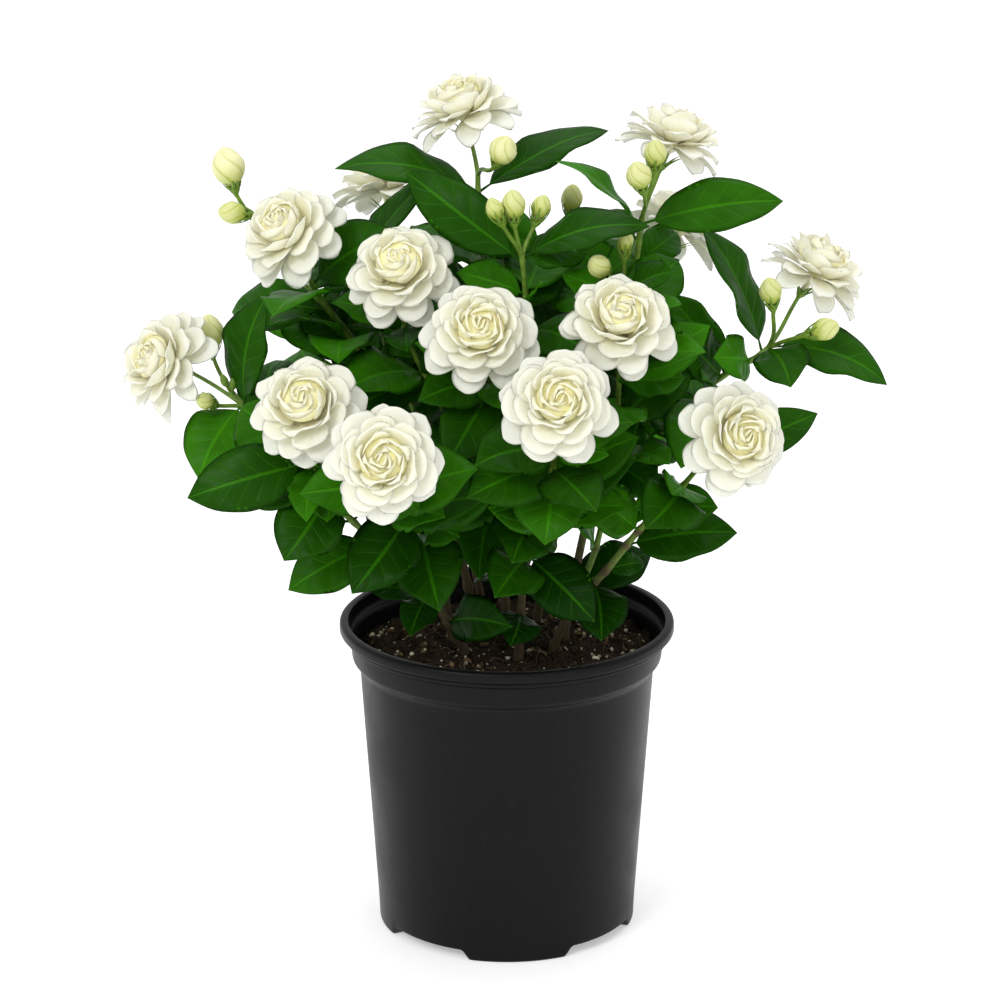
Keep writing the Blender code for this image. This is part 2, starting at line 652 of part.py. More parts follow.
def tube(name, points, radii, collection, resolution):
    """A round twig along a path, as a curve with a bevel that is made a mesh."""
    curve = bpy.data.curves.new(name, "CURVE")
    curve.dimensions = "3D"
    curve.bevel_depth = MM
    curve.bevel_resolution = resolution
    curve.use_fill_caps = True
    spline = curve.splines.new("POLY")
    spline.points.add(len(points) - 1)
    for knot, place, radius in zip(spline.points, points, radii):
        knot.co = (*(Vector(place) * MM), 1)
        knot.radius = radius
    return applied(new_object(name, curve, collection), MERGE * 0.01)


def largest_body(made):
    """Drop the sealed hollows and scraps that joining leaves: the widest surface stays."""
    shape = bmesh.new()
    shape.from_mesh(made.data)
    left = set(shape.faces)
    bodies = []
    while left:
        body, front = set(), [next(iter(left))]
        while front:
            face = front.pop()
            if face not in body:
                body.add(face)
                front += [other for edge in face.edges for other in edge.link_faces]
        left -= body
        bodies.append(body)
    bodies.sort(key=len)
    scraps = [face for body in bodies[:-1] for face in body]
    bmesh.ops.delete(shape, geom=scraps, context="FACES")
    shape.to_mesh(made.data)
    shape.free()


def fused(name, pieces, collection):
    """Join pieces into one body with one union, and remove them."""
    first, rest = pieces[0], pieces[1:]
    group = bpy.data.collections.new(name + "_pieces")
    bpy.context.scene.collection.children.link(group)
    for piece in rest:
        collection.objects.unlink(piece)
        group.objects.link(piece)
    union = first.modifiers.new("join", "BOOLEAN")
    union.operation = "UNION"
    union.operand_type = "COLLECTION"
    union.collection = group
    union.solver = "MANIFOLD"
    first.name = name
    body = applied(first)
    for piece in rest:
        bpy.data.objects.remove(piece)
    bpy.data.collections.remove(group)
    largest_body(body)
    body.name = name
    body.data.name = name
    return body


def cut(target, cutters):
    """Cut an object, or every object of a collection, from a target."""
    modifier = target.modifiers.new("cut", "BOOLEAN")
    modifier.operation = "DIFFERENCE"
    if isinstance(cutters, bpy.types.Collection):
        modifier.operand_type = "COLLECTION"
        modifier.collection = cutters
    else:
        modifier.object = cutters


def as_cutter(made):
    made.hide_render = True
    made.display_type = "WIRE"
    return made


def material(name, colour, roughness, sheen=0.0):
    made = bpy.data.materials.new(name)
    made.use_nodes = True
    made.diffuse_color = (*colour, 1)
    shader = made.node_tree.nodes["Principled BSDF"]
    shader.inputs["Base Color"].default_value = (*colour, 1)
    shader.inputs["Roughness"].default_value = roughness
    shader.inputs["Metallic"].default_value = 0.0
    shader.inputs["Sheen Weight"].default_value = sheen
    return made


# Pot and soil

def notch_prism(name, grow, collection):
    """Notches under the base, as prisms with sloping ends, each grown by a wall's thickness."""
    group = bpy.data.collections.new(name)
    collection.children.link(group)
    low, high = -3.0, NOTCH_HEIGHT + grow
    inner, outer = NOTCH_INNER - grow, RIM_RADIUS
    for number in range(FEET):
        turn = Matrix.Rotation(NOTCH_TURN + number * 2 * math.pi / FEET, 4, "Z")
        shape = bmesh.new()
        bmesh.ops.create_cube(shape, size=2.0)
        for corner in shape.verts:
            half = (NOTCH_NARROW if corner.co.z > 0 else NOTCH_WIDE) / 2 + grow
            across, out, up = corner.co
            corner.co = (across * half, -inner if out > 0 else -outer, high if up > 0 else low)
        bmesh.ops.transform(shape, matrix=turn @ Matrix.Scale(MM, 4), verts=shape.verts)
        mesh = bpy.data.meshes.new(name)
        shape.to_mesh(mesh)
        shape.free()
        as_cutter(new_object(f"{name}_{number + 1}", mesh, group))
    return group


def drain_holes(collection):
    group = bpy.data.collections.new("drain_holes")
    collection.children.link(group)
    for number in range(FEET):
        angle = NOTCH_TURN + number * 2 * math.pi / FEET
        shape = bmesh.new()
        place = Matrix.Translation((DRAIN_AT * math.sin(angle) * MM,
                                    -DRAIN_AT * math.cos(angle) * MM, NOTCH_HEIGHT * MM))
        bmesh.ops.create_cone(shape, cap_ends=True, segments=10, radius1=DRAIN_RADIUS * MM,
                              radius2=DRAIN_RADIUS * MM, depth=4 * WALL * MM, matrix=place)
        mesh = bpy.data.meshes.new("drain_hole")
        shape.to_mesh(mesh)
        shape.free()
        as_cutter(new_object(f"drain_hole_{number + 1}", mesh, group))
    return group


def make_pot(collection, cutters):
    top = POT_HEIGHT
    outside = (
        (0, top), (RIM_RADIUS - 3.2, top), (RIM_RADIUS - 0.8, top - 0.9), (RIM_RADIUS, top - 2.6),
        (RIM_RADIUS, top - 4.6), (RIM_RADIUS - 1.0, top - RIM_DROP),
        (LEDGE_RADIUS, top - RIM_DROP - 0.4), (LEDGE_RADIUS, top - LEDGE_DROP),
        (COLLAR_RADIUS, top - LEDGE_DROP - 0.8), (COLLAR_RADIUS - 1.0, top - COLLAR_DROP),
        (NECK_RADIUS, top - NECK_DROP), (BASE_RADIUS, NOTCH_HEIGHT),
        (BASE_RADIUS - 0.5, BASE_ROUND * 0.6), (BASE_RADIUS - BASE_ROUND, 0), (0, 0))
    pot = turned_mesh("pot", outside, POT_SIDES, collection)
    inside = as_cutter(turned_mesh("pot_inside", (
        (0, top + 6), (RIM_MOUTH, top + 6), (RIM_MOUTH, top - LEDGE_DROP + 1.6),
        (COLLAR_RADIUS - WALL, top - LEDGE_DROP - 0.8),
        (COLLAR_RADIUS - 1.0 - WALL, top - COLLAR_DROP + 0.5), (NECK_RADIUS - WALL, top - NECK_DROP),
        (BASE_RADIUS - WALL, NOTCH_HEIGHT), (BASE_RADIUS - WALL - 1.0, FLOOR), (0, FLOOR)),
        POT_SIDES, cutters))
    cut(inside, notch_prism("notch_roofs", WALL, cutters))
    cut(pot, inside)
    cut(pot, notch_prism("notches", 0.0, cutters))
    cut(pot, drain_holes(cutters))
    pot.data.materials.append(material("pot_plastic", (0.018, 0.018, 0.02), 0.42))
    return pot


def make_soil(collection, cutters):
    """One mass of soil that follows the pot's wall, with a plain hole for each stem."""
    top = POT_HEIGHT
    roof = NOTCH_HEIGHT + WALL + GAP
    step = NOTCH_INNER - WALL - 2 * GAP
    soil = turned_mesh("soil", (
        (0, SOIL_CROWN), (45, SOIL_CROWN - 1.8), (COLLAR_RADIUS - 1.0 - WALL - GAP, SOIL_EDGE),
        (COLLAR_RADIUS - 1.0 - WALL - GAP, top - COLLAR_DROP + 0.7),
        (NECK_RADIUS - WALL - 1.5 * GAP, top - NECK_DROP - 0.2),
        (BASE_RADIUS - WALL - GAP, roof), (step, roof), (step, FLOOR + GAP), (0, FLOOR + GAP)),
        POT_SIDES, collection)
    holes = bpy.data.collections.new("stem_holes")
    cutters.children.link(holes)
    for name in first_shoots():
        x, y, _ = SHOOTS[name][3][0]
        radius = (SHOOTS[name][1] + GAP + 0.1) / math.cos(math.pi / HOLE_SIDES)
        shape = bmesh.new()
        place = Matrix.Translation((x * MM, y * MM, (HOLE_BOTTOM + HOLE_TOP) / 2 * MM))
        bmesh.ops.create_cone(shape, cap_ends=True, segments=HOLE_SIDES, radius1=radius * MM,
                              radius2=radius * MM, depth=(HOLE_TOP - HOLE_BOTTOM) * MM,
                              matrix=place)
        mesh = bpy.data.meshes.new("stem_hole")
        shape.to_mesh(mesh)
        shape.free()
        as_cutter(new_object("hole_" + name, mesh, holes))
    cut(soil, holes)
    soil.data.materials.append(material("soil", (0.035, 0.02, 0.012), 0.95))
    return soil


def first_shoots():
    """The first shoot of each stem, which stands in the soil."""
    seen = {}
    for name, (stem, _, _, _) in SHOOTS.items():
        seen.setdefault(stem, name)
    return list(seen.values())


# Stems with their leaves and calyxes

def shoot_piece(name, collection):
    path, radii = shoot_line(name)
    if name not in first_shoots():
        return tube("shoot", path, radii * 1.15, collection, resolution=0)
    x, y, _ = SHOOTS[name][3][0]
    path = np.vstack([(x, y, HOLE_BOTTOM + GAP), path])
    radii = np.concatenate([radii[:1], radii])
    return tube("shoot", path, radii, collection, resolution=1)


def leaf_piece(leaf, collection):
    rings = []
    half_thick = LEAF_THICK / 2
    for s in LEAF_STATIONS:
        at = np.array([s])
        left, right = leaf.point(at, np.array([-1.0]))[0], leaf.point(at, np.array([1.0]))[0]
        middle = leaf.midrib(at)[0]
        rings.append((left, middle + half_thick * leaf.normal, right,
                      middle - half_thick * leaf.normal))
    rings[-1] = (leaf.tip,) * 4
    return new_object("leaf", blade_mesh("leaf", rings, True), collection)


def calyx_piece(foot, axis, count, tip, collection):
    """Green cup whose rim rises to a number of pointed sepals round a flat floor."""
    points = []
    for step in range(2 * count):
        angle = step * math.pi / count + 0.3
        points.append((CALYX_FOOT, angle, 0.0))
    for step in range(2 * count):
        radius, height = tip if step % 2 else (CALYX_RADIUS, CALYX_HEIGHT)
        points.append((radius, step * math.pi / count + 0.3, height))
    for step in range(2 * count):
        points.append((CALYX_FLOOR, step * math.pi / count + 0.3, CALYX_HEIGHT))
    corners = [(r * math.cos(a), r * math.sin(a), z) for r, a, z in points]
    n = 2 * count
    faces = [tuple(range(n)), tuple(range(2 * n, 3 * n))]
    for start in (0, n):
        for step in range(n):
            a, b = start + step, start + (step + 1) % n
            if step % 2 or start:
                faces += [(a, b, a + n), (b, b + n, a + n)]
            else:
                faces += [(a, b, b + n), (a, b + n, a + n)]
    piece = new_object("calyx", closed_mesh("calyx", corners, faces), collection)
    piece.matrix_world = Matrix.Scale(MM, 4) @ axis_frame(foot, axis) @ Matrix.Scale(1 / MM, 4)
    return piece


def make_stem(name, leaves, stalks, collection):
    pieces = [shoot_piece(shoot, collection) for shoot in SHOOTS if SHOOTS[shoot][0] == name]
    pieces += [leaf_piece(leaf, collection) for stem, leaf in leaves if stem == name]
    for stem, path, foot, axis, count, tip in stalks:
        if stem == name:
            pieces.append(tube("stalk", path[::3], [1.2] * 3, collection, resolution=0))
            pieces.append(calyx_piece(foot, axis, count, tip, collection))
    stem = fused(name, pieces, collection)
    stem.data.materials.append(material(name + "_green", (0.03, 0.13, 0.02), 0.4))
    return stem


# Blooms and buds

def petal_line(form, root, s):
    """Midline of a petal that bends evenly: its radius, height and lean at s along it."""
    length, _, opened, reached, _ = form
    start, bend = math.radians(opened), math.radians(reached - opened)
    lean = start + bend * s
    radius = root[0] + length * (math.cos(start) - math.cos(lean)) / bend
    height = root[1] + length * (math.sin(lean) - math.sin(start)) / bend
    return radius, height, lean


def petal_place(form, root, s, turn, lift):
    """Point of a petal at s along it, turned about the axis and lifted off the midline."""
    radius, height, lean = petal_line(form, root, s)
    radius -= lift * math.cos(lean)
    height += lift * math.sin(lean)
    turn += math.radians(form[4]) * s
    return radius * math.cos(turn), radius * math.sin(turn), height


def whorl(points, form, root, below, above, draw):
    """Faces of one whorl: each petal is a fan above and a fan below, and all share notches."""
    step = 2 * math.pi / PETALS
    notches = []
    for number in range(PETALS):
        notches.append(len(points))
        points.append(petal_place(form, root, PETAL_NOTCH, number * step, 0.0))
    faces = []
    for number in range(PETALS):
        after = (number + 1) % PETALS
        centre = (number + 0.5) * step
        grown = (form[0] * draw.uniform(0.95, 1.02), form[1], form[2],
                 form[3] + draw.uniform(-5, 5), form[4])
        half = form[1] / petal_line(form, root, PETAL_SHOULDER)[0]
        half = min(half, 0.46 * step)
        first = len(points)
        for s, turn, lift in (
                (PETAL_SHOULDER, centre - half, PETAL_CUP), (1.0, centre, PETAL_CUP * 0.3),
                (PETAL_SHOULDER, centre + half, PETAL_CUP * draw.uniform(0.5, 1.1)),
                (PETAL_MIDDLE, centre, PETAL_THICK / 2),
                (PETAL_MIDDLE, centre, -PETAL_THICK / 2)):
            points.append(petal_place(grown, root, s, turn, lift))
        left, tip, right, over, under = range(first, first + 5)
        for middle, roots in ((over, above), (under, below)):
            rim = (roots[number], notches[number], left, tip, right, notches[after],
                   roots[after])
            for here, there in zip(rim, rim[1:] + rim[:1]):
                faces.append((middle, here, there))
    return faces


def bloom_mesh(name, draw):
    """Petals in three whorls on one neck, as one closed surface from the foot to the centre."""
    step = 2 * math.pi / PETALS
    points = [(radius * math.cos(k * step), radius * math.sin(k * step), height)
              for radius, height in NECK for k in range(PETALS)]
    rings = [range(i * PETALS, (i + 1) * PETALS) for i in range(len(NECK))]
    faces = [tuple(rings[0]), tuple(rings[-1])]
    for lower, upper in ((rings[0], rings[1]), (rings[-2], rings[-1])):
        for k in range(PETALS):
            after = (k + 1) % PETALS
            faces += [(lower[k], lower[after], upper[after]), (lower[k], upper[after], upper[k])]
    for number, form in enumerate(WHORLS, 1):
        root = np.mean(NECK[number:number + 2], axis=0)
        faces += whorl(points, form, root, rings[number], rings[number + 1], draw)
    return closed_mesh(name, points, faces)


def make_bloom(number, centre, axis, collection):
    draw = random.Random(SEED * 100 + number)
    name = f"bloom_{number:02d}"
    bloom = new_object(name, bloom_mesh(name, draw), collection)
    place = axis_frame(bloom_foot(centre, axis), unit(axis))
    place.translation *= MM
    bloom.matrix_world = place @ Matrix.Rotation(draw.uniform(0, 2 * math.pi), 4, "Z")
    bloom.data.materials.append(material(f"petals_{number:02d}", (0.86, 0.84, 0.68), 0.6))
    return bloom


def make_bud(number, centre, axis, length, radius, collection):
    """Closed egg-shaped bud with a narrow foot in the calyx."""
    profile = [(radius * r, SEAT + length * z) for r, z in BUD_SHAPE]
    profile.insert(-1, (BUD_NECK, SEAT))
    bud = applied(turned_mesh(f"bud_{number:02d}", profile, BUD_SIDES, collection))
    place = axis_frame(bud_foot(centre, axis, length), unit(axis))
    place.translation *= MM
    bud.matrix_world = place
    bud.data.materials.append(material(f"bud_{number:02d}", (0.72, 0.72, 0.36), 0.5))
    return bud


def main():
    for old in list(bpy.data.objects):
        bpy.data.objects.remove(old)
    collection = bpy.data.collections.new("potted_jasmine")
    cutters = bpy.data.collections.new("cutters")
    bpy.context.scene.collection.children.link(collection)
    bpy.context.scene.collection.children.link(cutters)
    stalks = plan_stalks()
    leaves = plan_leaves(stalks)
    for stem in dict.fromkeys(entry[0] for entry in SHOOTS.values()):
        make_stem(stem, leaves, stalks, collection)
    for number, (_, centre, axis) in enumerate(BLOOMS, 1):
        make_bloom(number, centre, axis, collection)
    for number, (_, centre, axis, length, radius) in enumerate(BUDS, 1):
        make_bud(number, centre, axis, length, radius, collection)
    make_soil(collection, cutters)
    make_pot(collection, cutters)


if __name__ == "__main__":
    main()
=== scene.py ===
"""Looks of the potted jasmine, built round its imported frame.

The plan of the shrub, its shoots, blooms, buds and leaves, is the same as in the part, in
millimetres, and each fine piece stands where the solid that it replaces stands. Further leaves
fill the crown, and all leaves turn a little to the light. A shape is a function of two
parameters on a grid of numpy arrays, closed at both ends and joined into one mesh for each
piece.
"""

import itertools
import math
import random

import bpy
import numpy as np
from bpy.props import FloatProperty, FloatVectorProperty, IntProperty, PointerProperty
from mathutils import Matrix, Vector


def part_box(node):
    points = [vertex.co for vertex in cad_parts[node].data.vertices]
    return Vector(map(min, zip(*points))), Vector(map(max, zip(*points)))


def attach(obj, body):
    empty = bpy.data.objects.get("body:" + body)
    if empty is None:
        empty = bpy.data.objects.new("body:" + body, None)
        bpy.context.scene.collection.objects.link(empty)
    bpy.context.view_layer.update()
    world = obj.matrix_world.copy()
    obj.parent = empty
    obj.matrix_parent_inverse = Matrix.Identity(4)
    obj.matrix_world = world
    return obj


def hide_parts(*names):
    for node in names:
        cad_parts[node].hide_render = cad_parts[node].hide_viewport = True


bl_info = {
    "name": "Potted Jasmine",
    "version": (1, 0, 0),
    "blender": (4, 5, 0),
    "location": "View3D > Sidebar > Jasmine",
    "description": "Builds the fine surfaces of a potted double jasmine round its frame",
    "category": "Object",
}

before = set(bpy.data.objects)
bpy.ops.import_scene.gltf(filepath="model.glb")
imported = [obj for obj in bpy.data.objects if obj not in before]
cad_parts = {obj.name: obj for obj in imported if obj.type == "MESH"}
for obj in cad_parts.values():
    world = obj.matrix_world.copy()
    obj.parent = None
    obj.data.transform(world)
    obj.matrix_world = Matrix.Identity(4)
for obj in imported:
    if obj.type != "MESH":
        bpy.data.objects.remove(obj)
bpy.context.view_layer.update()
POT_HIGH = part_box("pot")[1]

MM = 0.001
BODY = "root"

GAP = 0.3
SEED = 7
UP = np.array((0, 0, 1.0))

# Pot, in millimetres. A drop is a depth below the top of the rim.
POT_HEIGHT = 164.0
RIM_MOUTH = 81.4
RIM_DROP = 5.6
LEDGE_RADIUS = 83.5
LEDGE_DROP = 8.6
COLLAR_RADIUS = 80.6
COLLAR_DROP = 20.0
NECK_RADIUS = 75.8
NECK_DROP = 23.5
BASE_RADIUS = 67.0
BASE_BAND = 12.0
FLOOR_INSIDE = 8.5
WALL = 1.6
POT_AROUND = 256
POT_RING_STEP = 9.0
CORNER_STEPS = 6

# Feet: four notches in the base leave four feet, and a drain hole opens over each notch.
FEET = 4
NOTCH_TURN = math.radians(50.0)
NOTCH_HEIGHT = 5.0
NOTCH_WIDE = 50.0
NOTCH_EASE = 0.075
NOTCH_INNER = 50.0
DRAIN_RADIUS = 4.5
DRAIN_AT = 57.0
DRAIN_AROUND = 40
DRAIN_BOTTOM = -4.0
DRAIN_TOP = 12.0
SHARP = math.radians(50)

# Spacing of the points along a shoot's line in the plan, and along its tube in the looks
SHOOT_STEP = 32.0
TUBE_STEP = 1.5

# Leaves
PETIOLE = 0.1
PETIOLE_HALF = 0.8
LEAF_FOLD = 0.22
LEAF_WAVE = 0.8
INTERNODE = 40.0
FIRST_PAIR = 20.0
AIMED_APART = 4.4
PAIRED_APART = 26.0

# Calyx, bloom and bud, each along its own axis from the foot of the calyx. Blooms and buds
# start at the seat, and the head is the height of a bloom's middle.
CALYX_HEIGHT = 4.0
SEAT = CALYX_HEIGHT + GAP
HEAD = 17.0
SEPALS = 8
BUD_NECK = 1.8

# Shoots: the stem that each is part of, its radius at both ends, and its path. The first shoot of
# a stem starts in the soil, and the others start inside a shoot of the same stem.
SHOOTS = {
    "far_left": ("stem_left", 2.2, 1.3, (
        (-28, 2, 154), (-36, -2, 188), (-60, -10, 225), (-95, -17, 255), (-120, -20, 272),
        (-132, -20, 283))),
    "upper_left": ("stem_upper_left", 2.3, 1.3, (
        (-16, 18, 154), (-26, 14, 200), (-46, 4, 250), (-72, -8, 305), (-90, -16, 333),
        (-98, -20, 348))),
    "left_twig": ("stem_upper_left", 1.3, 1.0, (
        (-88, -15, 330), (-108, -3, 349), (-122, 2, 365), (-129, 3, 376))),
    "low_left": ("stem_low_left", 2.3, 1.3, (
        (-22, -20, 154), (-38, -35, 186), (-54, -50, 208), (-74, -72, 237), (-90, -84, 258),
        (-97, -87, 276))),
    "low_front": ("stem_low_left", 1.7, 1.3, (
        (-34, -31, 178), (-38, -44, 212), (-46, -66, 238), (-54, -98, 258), (-57, -116, 271))),
    "top": ("stem_centre", 2.4, 1.3, (
        (0, 6, 154), (-2, 5, 200), (-6, 3, 250), (-10, 2, 305), (-14, 0, 360), (-14.5, 0, 398))),
    "left_centre": ("stem_centre", 1.7, 1.2, (
        (-3, 4.6, 212), (-16, -6, 248), (-36, -24, 290), (-49, -36, 322), (-51, -40, 334))),
    "centre": ("stem_centre", 1.7, 1.2, (
        (-4.5, 4, 232), (-4, -12, 262), (-6, -42, 290), (-8, -64, 307), (-9.5, -72, 315))),
    "front": ("stem_front", 2.2, 1.3, (
        (6, -26, 154), (8, -32, 190), (12, -46, 220), (18, -74, 250), (22, -96, 274),
        (23, -106, 292))),
    "bud_spray": ("stem_front", 1.7, 1.2, (
        (7, -29, 174), (10, -32, 215), (12, -36, 265), (11, -42, 318), (8, -48, 358),
        (7, -50, 368))),
    "low_right": ("stem_low_right", 2.2, 1.3, (
        (24, -16, 154), (34, -21, 178), (49, -30, 198), (66, -41, 224), (86, -58, 252),
        (97, -70, 270))),
    "right_front": ("stem_low_right", 1.7, 1.2, (
        (30, -19, 170), (45, -20, 208), (53, -28, 258), (55, -44, 298), (54, -62, 320))),
    "bud_twig": ("stem_low_right", 1.2, 1.0, ((54.5, -42, 294), (57, -42, 325), (57, -46, 350))),
    "upper_right": ("stem_right", 2.3, 1.3, (
        (30, 6, 154), (37, 6, 195), (48, 4, 250), (58, 1, 305), (64, -3, 348), (67, -5, 376))),
    "right": ("stem_right", 1.8, 1.3, (
        (39, 5.6, 205), (58, 3, 240), (86, 0, 272), (108, -4, 293), (124, -5, 303),
        (132, -5, 309))),
    "back_left": ("stem_back_left", 2.2, 1.2, (
        (-12, 36, 154), (-22, 38, 200), (-44, 38, 255), (-64, 36, 305), (-75, 38, 340))),
    "back": ("stem_back_left", 1.7, 1.2, (
        (-17, 37.5, 180), (-28, 56, 220), (-42, 82, 255), (-50, 94, 276))),
    "back_side": ("stem_back_left", 1.5, 1.1, (
        (-44, 38, 255), (-82, 50, 278), (-112, 56, 296))),
    "back_right": ("stem_back_right", 2.2, 1.2, (
        (16, 30, 154), (26, 35, 200), (46, 44, 255), (66, 50, 302), (78, 51, 338))),
    "back_spray": ("stem_back_right", 1.6, 1.1, (
        (19, 32, 176), (21, 38, 225), (25, 46, 285), (28, 47, 338), (30, 45, 352))),
    "back_low": ("stem_back_right", 1.6, 1.2, (
        (32, 38, 215), (48, 62, 246), (56, 86, 262), (58, 94, 267))),
    "back_centre": ("stem_back_right", 1.5, 1.2, (
        (20.5, 37, 216), (18, 54, 248), (16, 70, 278), (15, 78, 292))),
    "right_back_side": ("stem_back_right", 1.5, 1.1, (
        (44, 43, 250), (80, 56, 274), (110, 60, 294))),
}

# Blooms: shoot, centre, axis
BLOOMS = (
    ("top", (-22, 0, 429), (-0.25, -0.1, 0.95)),
    ("back_left", (-62, 60, 377), (-0.1, 0.35, 0.93)),
    ("upper_left", (-107, -30, 374), (-0.45, -0.5, 0.7)),
    ("left_centre", (-51.5, -60, 362), (-0.1, -0.7, 0.7)),
    ("centre", (-12.5, -95, 339.5), (0, -0.75, 0.6)),
    ("right_front", (54, -90, 344.5), (0.1, -0.7, 0.7)),
    ("front", (24, -130, 315), (0.05, -0.85, 0.5)),
    ("far_left", (-170.5, -20, 305.5), (-0.7, -0.5, 0.45)),
    ("low_left", (-96, -105, 306), (-0.15, -0.75, 0.65)),
    ("low_front", (-58, -150, 293), (0, -0.93, 0.37)),
    ("upper_right", (82.5, 16, 411), (0.35, 0.1, 0.9)),
    ("right", (156, 10, 345), (0.5, -0.1, 0.8)),
    ("low_right", (110, -95, 289), (0.35, -0.85, 0.3)),
    ("back_right", (90, 60, 356), (0.45, 0.45, 0.75)),
    ("back", (-60, 112, 296), (-0.35, 0.65, 0.65)),
    ("back_low", (62, 112, 276), (0.3, 0.75, 0.55)),
    ("back_centre", (15, 95, 312), (0, 0.7, 0.7)),
)

# Buds: shoot, centre, axis, length, radius
BUDS = (
    ("left_twig", (-138.5, 4, 399.5), (-0.25, 0.1, 0.95), 20, 8.2),
    ("left_twig", (-136, -11, 379.5), (-0.9, -0.45, 0.2), 15, 5.6),
    ("far_left", (-149, -2, 316), (-0.1, 0.15, 1), 18, 6.8),
    ("far_left", (-150, -33, 289), (-0.5, -0.6, 0.4), 11, 4.2),
    ("top", (-2, -33, 416), (0.35, -0.45, 0.8), 16, 6.8),
    ("bud_spray", (-6, -60, 393), (-0.4, -0.2, 0.9), 12, 4.2),
    ("bud_spray", (3, -55, 394), (-0.05, -0.1, 1), 15, 5.8),
    ("bud_spray", (16.5, -45, 390.5), (0.35, 0.1, 0.95), 12, 4.8),
    ("back_spray", (33, 40, 375), (0.1, -0.1, 1), 15, 5.5),
    ("bud_twig", (57.5, -50, 375), (0.05, -0.1, 1), 12, 3.8),
    ("bud_twig", (44.5, -58, 364), (-0.5, -0.4, 0.8), 13, 5.6),
    ("upper_right", (64, -40, 405), (-0.25, -0.3, 0.9), 15, 6.2),
    ("upper_right", (72.5, -24, 412.5), (0.05, -0.2, 0.95), 14, 5.6),
    ("right", (130.5, -22, 342.5), (-0.15, -0.15, 1), 14, 5.6),
    ("right", (157.5, -28, 324.5), (0.85, -0.3, 0.35), 15, 5.6),
)

# Leaves aimed one by one: shoot, place near its root, tip, width, roll in degrees, arch
LEAVES = (
    ("top", (-14, 0, 387), (-82, -15, 412), 27, 20, 0.13),
    ("top", (-14, 0, 387), (52, 20, 417), 25, -20, 0.08),
    ("bud_spray", (7, -50, 364), (-44, -42, 415), 25, 0, 0.1),
    ("bud_spray", (7, -50, 365), (65, -42, 393), 25, 0, 0.1),
    ("bud_spray", (10, -44, 340), (17, -62, 357), 10, 0, 0.05),
    ("upper_right", (66, -5, 368), (26, -15, 409), 23, 0, 0.08),
    ("upper_right", (67, -5, 372), (138, 5, 382), 25, 0, 0.1),
    ("upper_right", (65, -3, 352), (87, 25, 362), 18, 0, 0.08),
    ("upper_right", (62, -1, 332), (90, 25, 341), 18, 0, 0.08),
    ("upper_right", (61, -1, 330), (27, -5, 369), 24, 0, 0.06),
    ("right", (128, -5, 306), (98.5, 6, 370), 31, 30, 0.06),
    ("right", (132, -5, 309), (191, -15, 294), 27, -15, 0.12),
    ("right", (132, -5, 307), (140, -40, 299), 26, 0, 0.08),
    ("right", (122, -5, 302), (104, -34, 312), 22, 0, 0.05),
    ("right", (108, -4, 293), (87, -22, 320), 26, 0, 0.05),
    ("right", (96, -2, 282), (86, -52, 260), 28, 0, 0.1),
    ("right", (76, 1, 262), (61, -5, 303), 18, 0, 0.05),
    ("right", (110, -4, 294), (84, 12, 336), 20, 0, 0.06),
    ("right_front", (54, -46, 302), (99, -32, 329), 22, 0, 0.06),
    ("right_front", (53, -28, 256), (74, -48, 247), 24, 0, 0.06),
    ("right_front", (54, -36, 280), (62, -60, 281), 14, 0, 0.05),
    ("right_front", (45, -20, 208), (31, -40, 237), 22, 0, 0.05),
    ("low_right", (96, -69, 268), (154, -46, 287), 20, 0, 0.08),
    ("low_right", (86, -58, 252), (68, -102, 246), 31, 0, 0.1),
    ("low_right", (72, -46, 233), (102, -62, 249), 23, 0, 0.06),
    ("low_right", (60, -37, 215), (115, -45, 224), 27, 0, 0.1),
    ("low_right", (66, -41, 224), (39, -60, 253), 23, 0, 0.06),
    ("low_right", (50, -31, 199), (70, -20, 200), 11, 0, 0.05),
    ("low_right", (44, -27, 191), (47, -62, 173), 25, 0, 0.08),
    ("front", (21, -92, 268), (18, -124, 245), 33, 0, 0.1),
    ("front", (14, -56, 232), (3, -101, 228), 31, 0, 0.1),
    ("front", (10, -40, 208), (-5, -79, 203), 28, 0, 0.1),
    ("front", (11, -42, 210), (46, -69, 193), 27, 0, 0.1),
    ("front", (7, -28, 176), (2, -61, 171), 21, 0, 0.08),
    ("centre", (-7, -58, 302), (-29, -101, 277), 27, 0, 0.1),
    ("top", (-4, 4, 228), (-14, -47, 200), 26, 0, 0.1),
    ("low_left", (-97, -87, 272), (-155, -95, 258), 29, 0, 0.1),
    ("low_left", (-88, -83, 255), (-108, -106, 230), 30, 0, 0.08),
    ("low_left", (-96, -87, 270), (-96, -122, 256), 17, 0, 0.06),
    ("low_left", (-66, -63, 224), (-108, -76, 205), 25, 0, 0.1),
    ("low_left", (-40, -37, 188), (-48, -69, 179), 17, 0, 0.06),
    ("low_left", (-30, -28, 170), (1, -63, 181), 22, 0, 0.08),
    ("low_front", (-48, -74, 244), (-75, -111, 215), 30, 0, 0.1),
    ("low_front", (-42, -56, 228), (-33, -103, 203), 32, 0, 0.1),
    ("low_front", (-44, -62, 234), (-5, -91, 263), 29, 0, 0.08),
    ("upper_left", (-88, -15, 331), (-152, 4, 345), 24, 0, 0.1),
    ("upper_left", (-80, -12, 317), (-116, -46, 334), 25, 0, 0.08),
    ("far_left", (-131, -20, 282), (-120, -30, 342), 27, 0, 0.06),
    ("far_left", (-132, -20, 283), (-155, -47, 255), 30, 0, 0.1),
    ("back_left", (-75, 38, 340), (-41, 14, 392), 23, 0, 0.06),
)

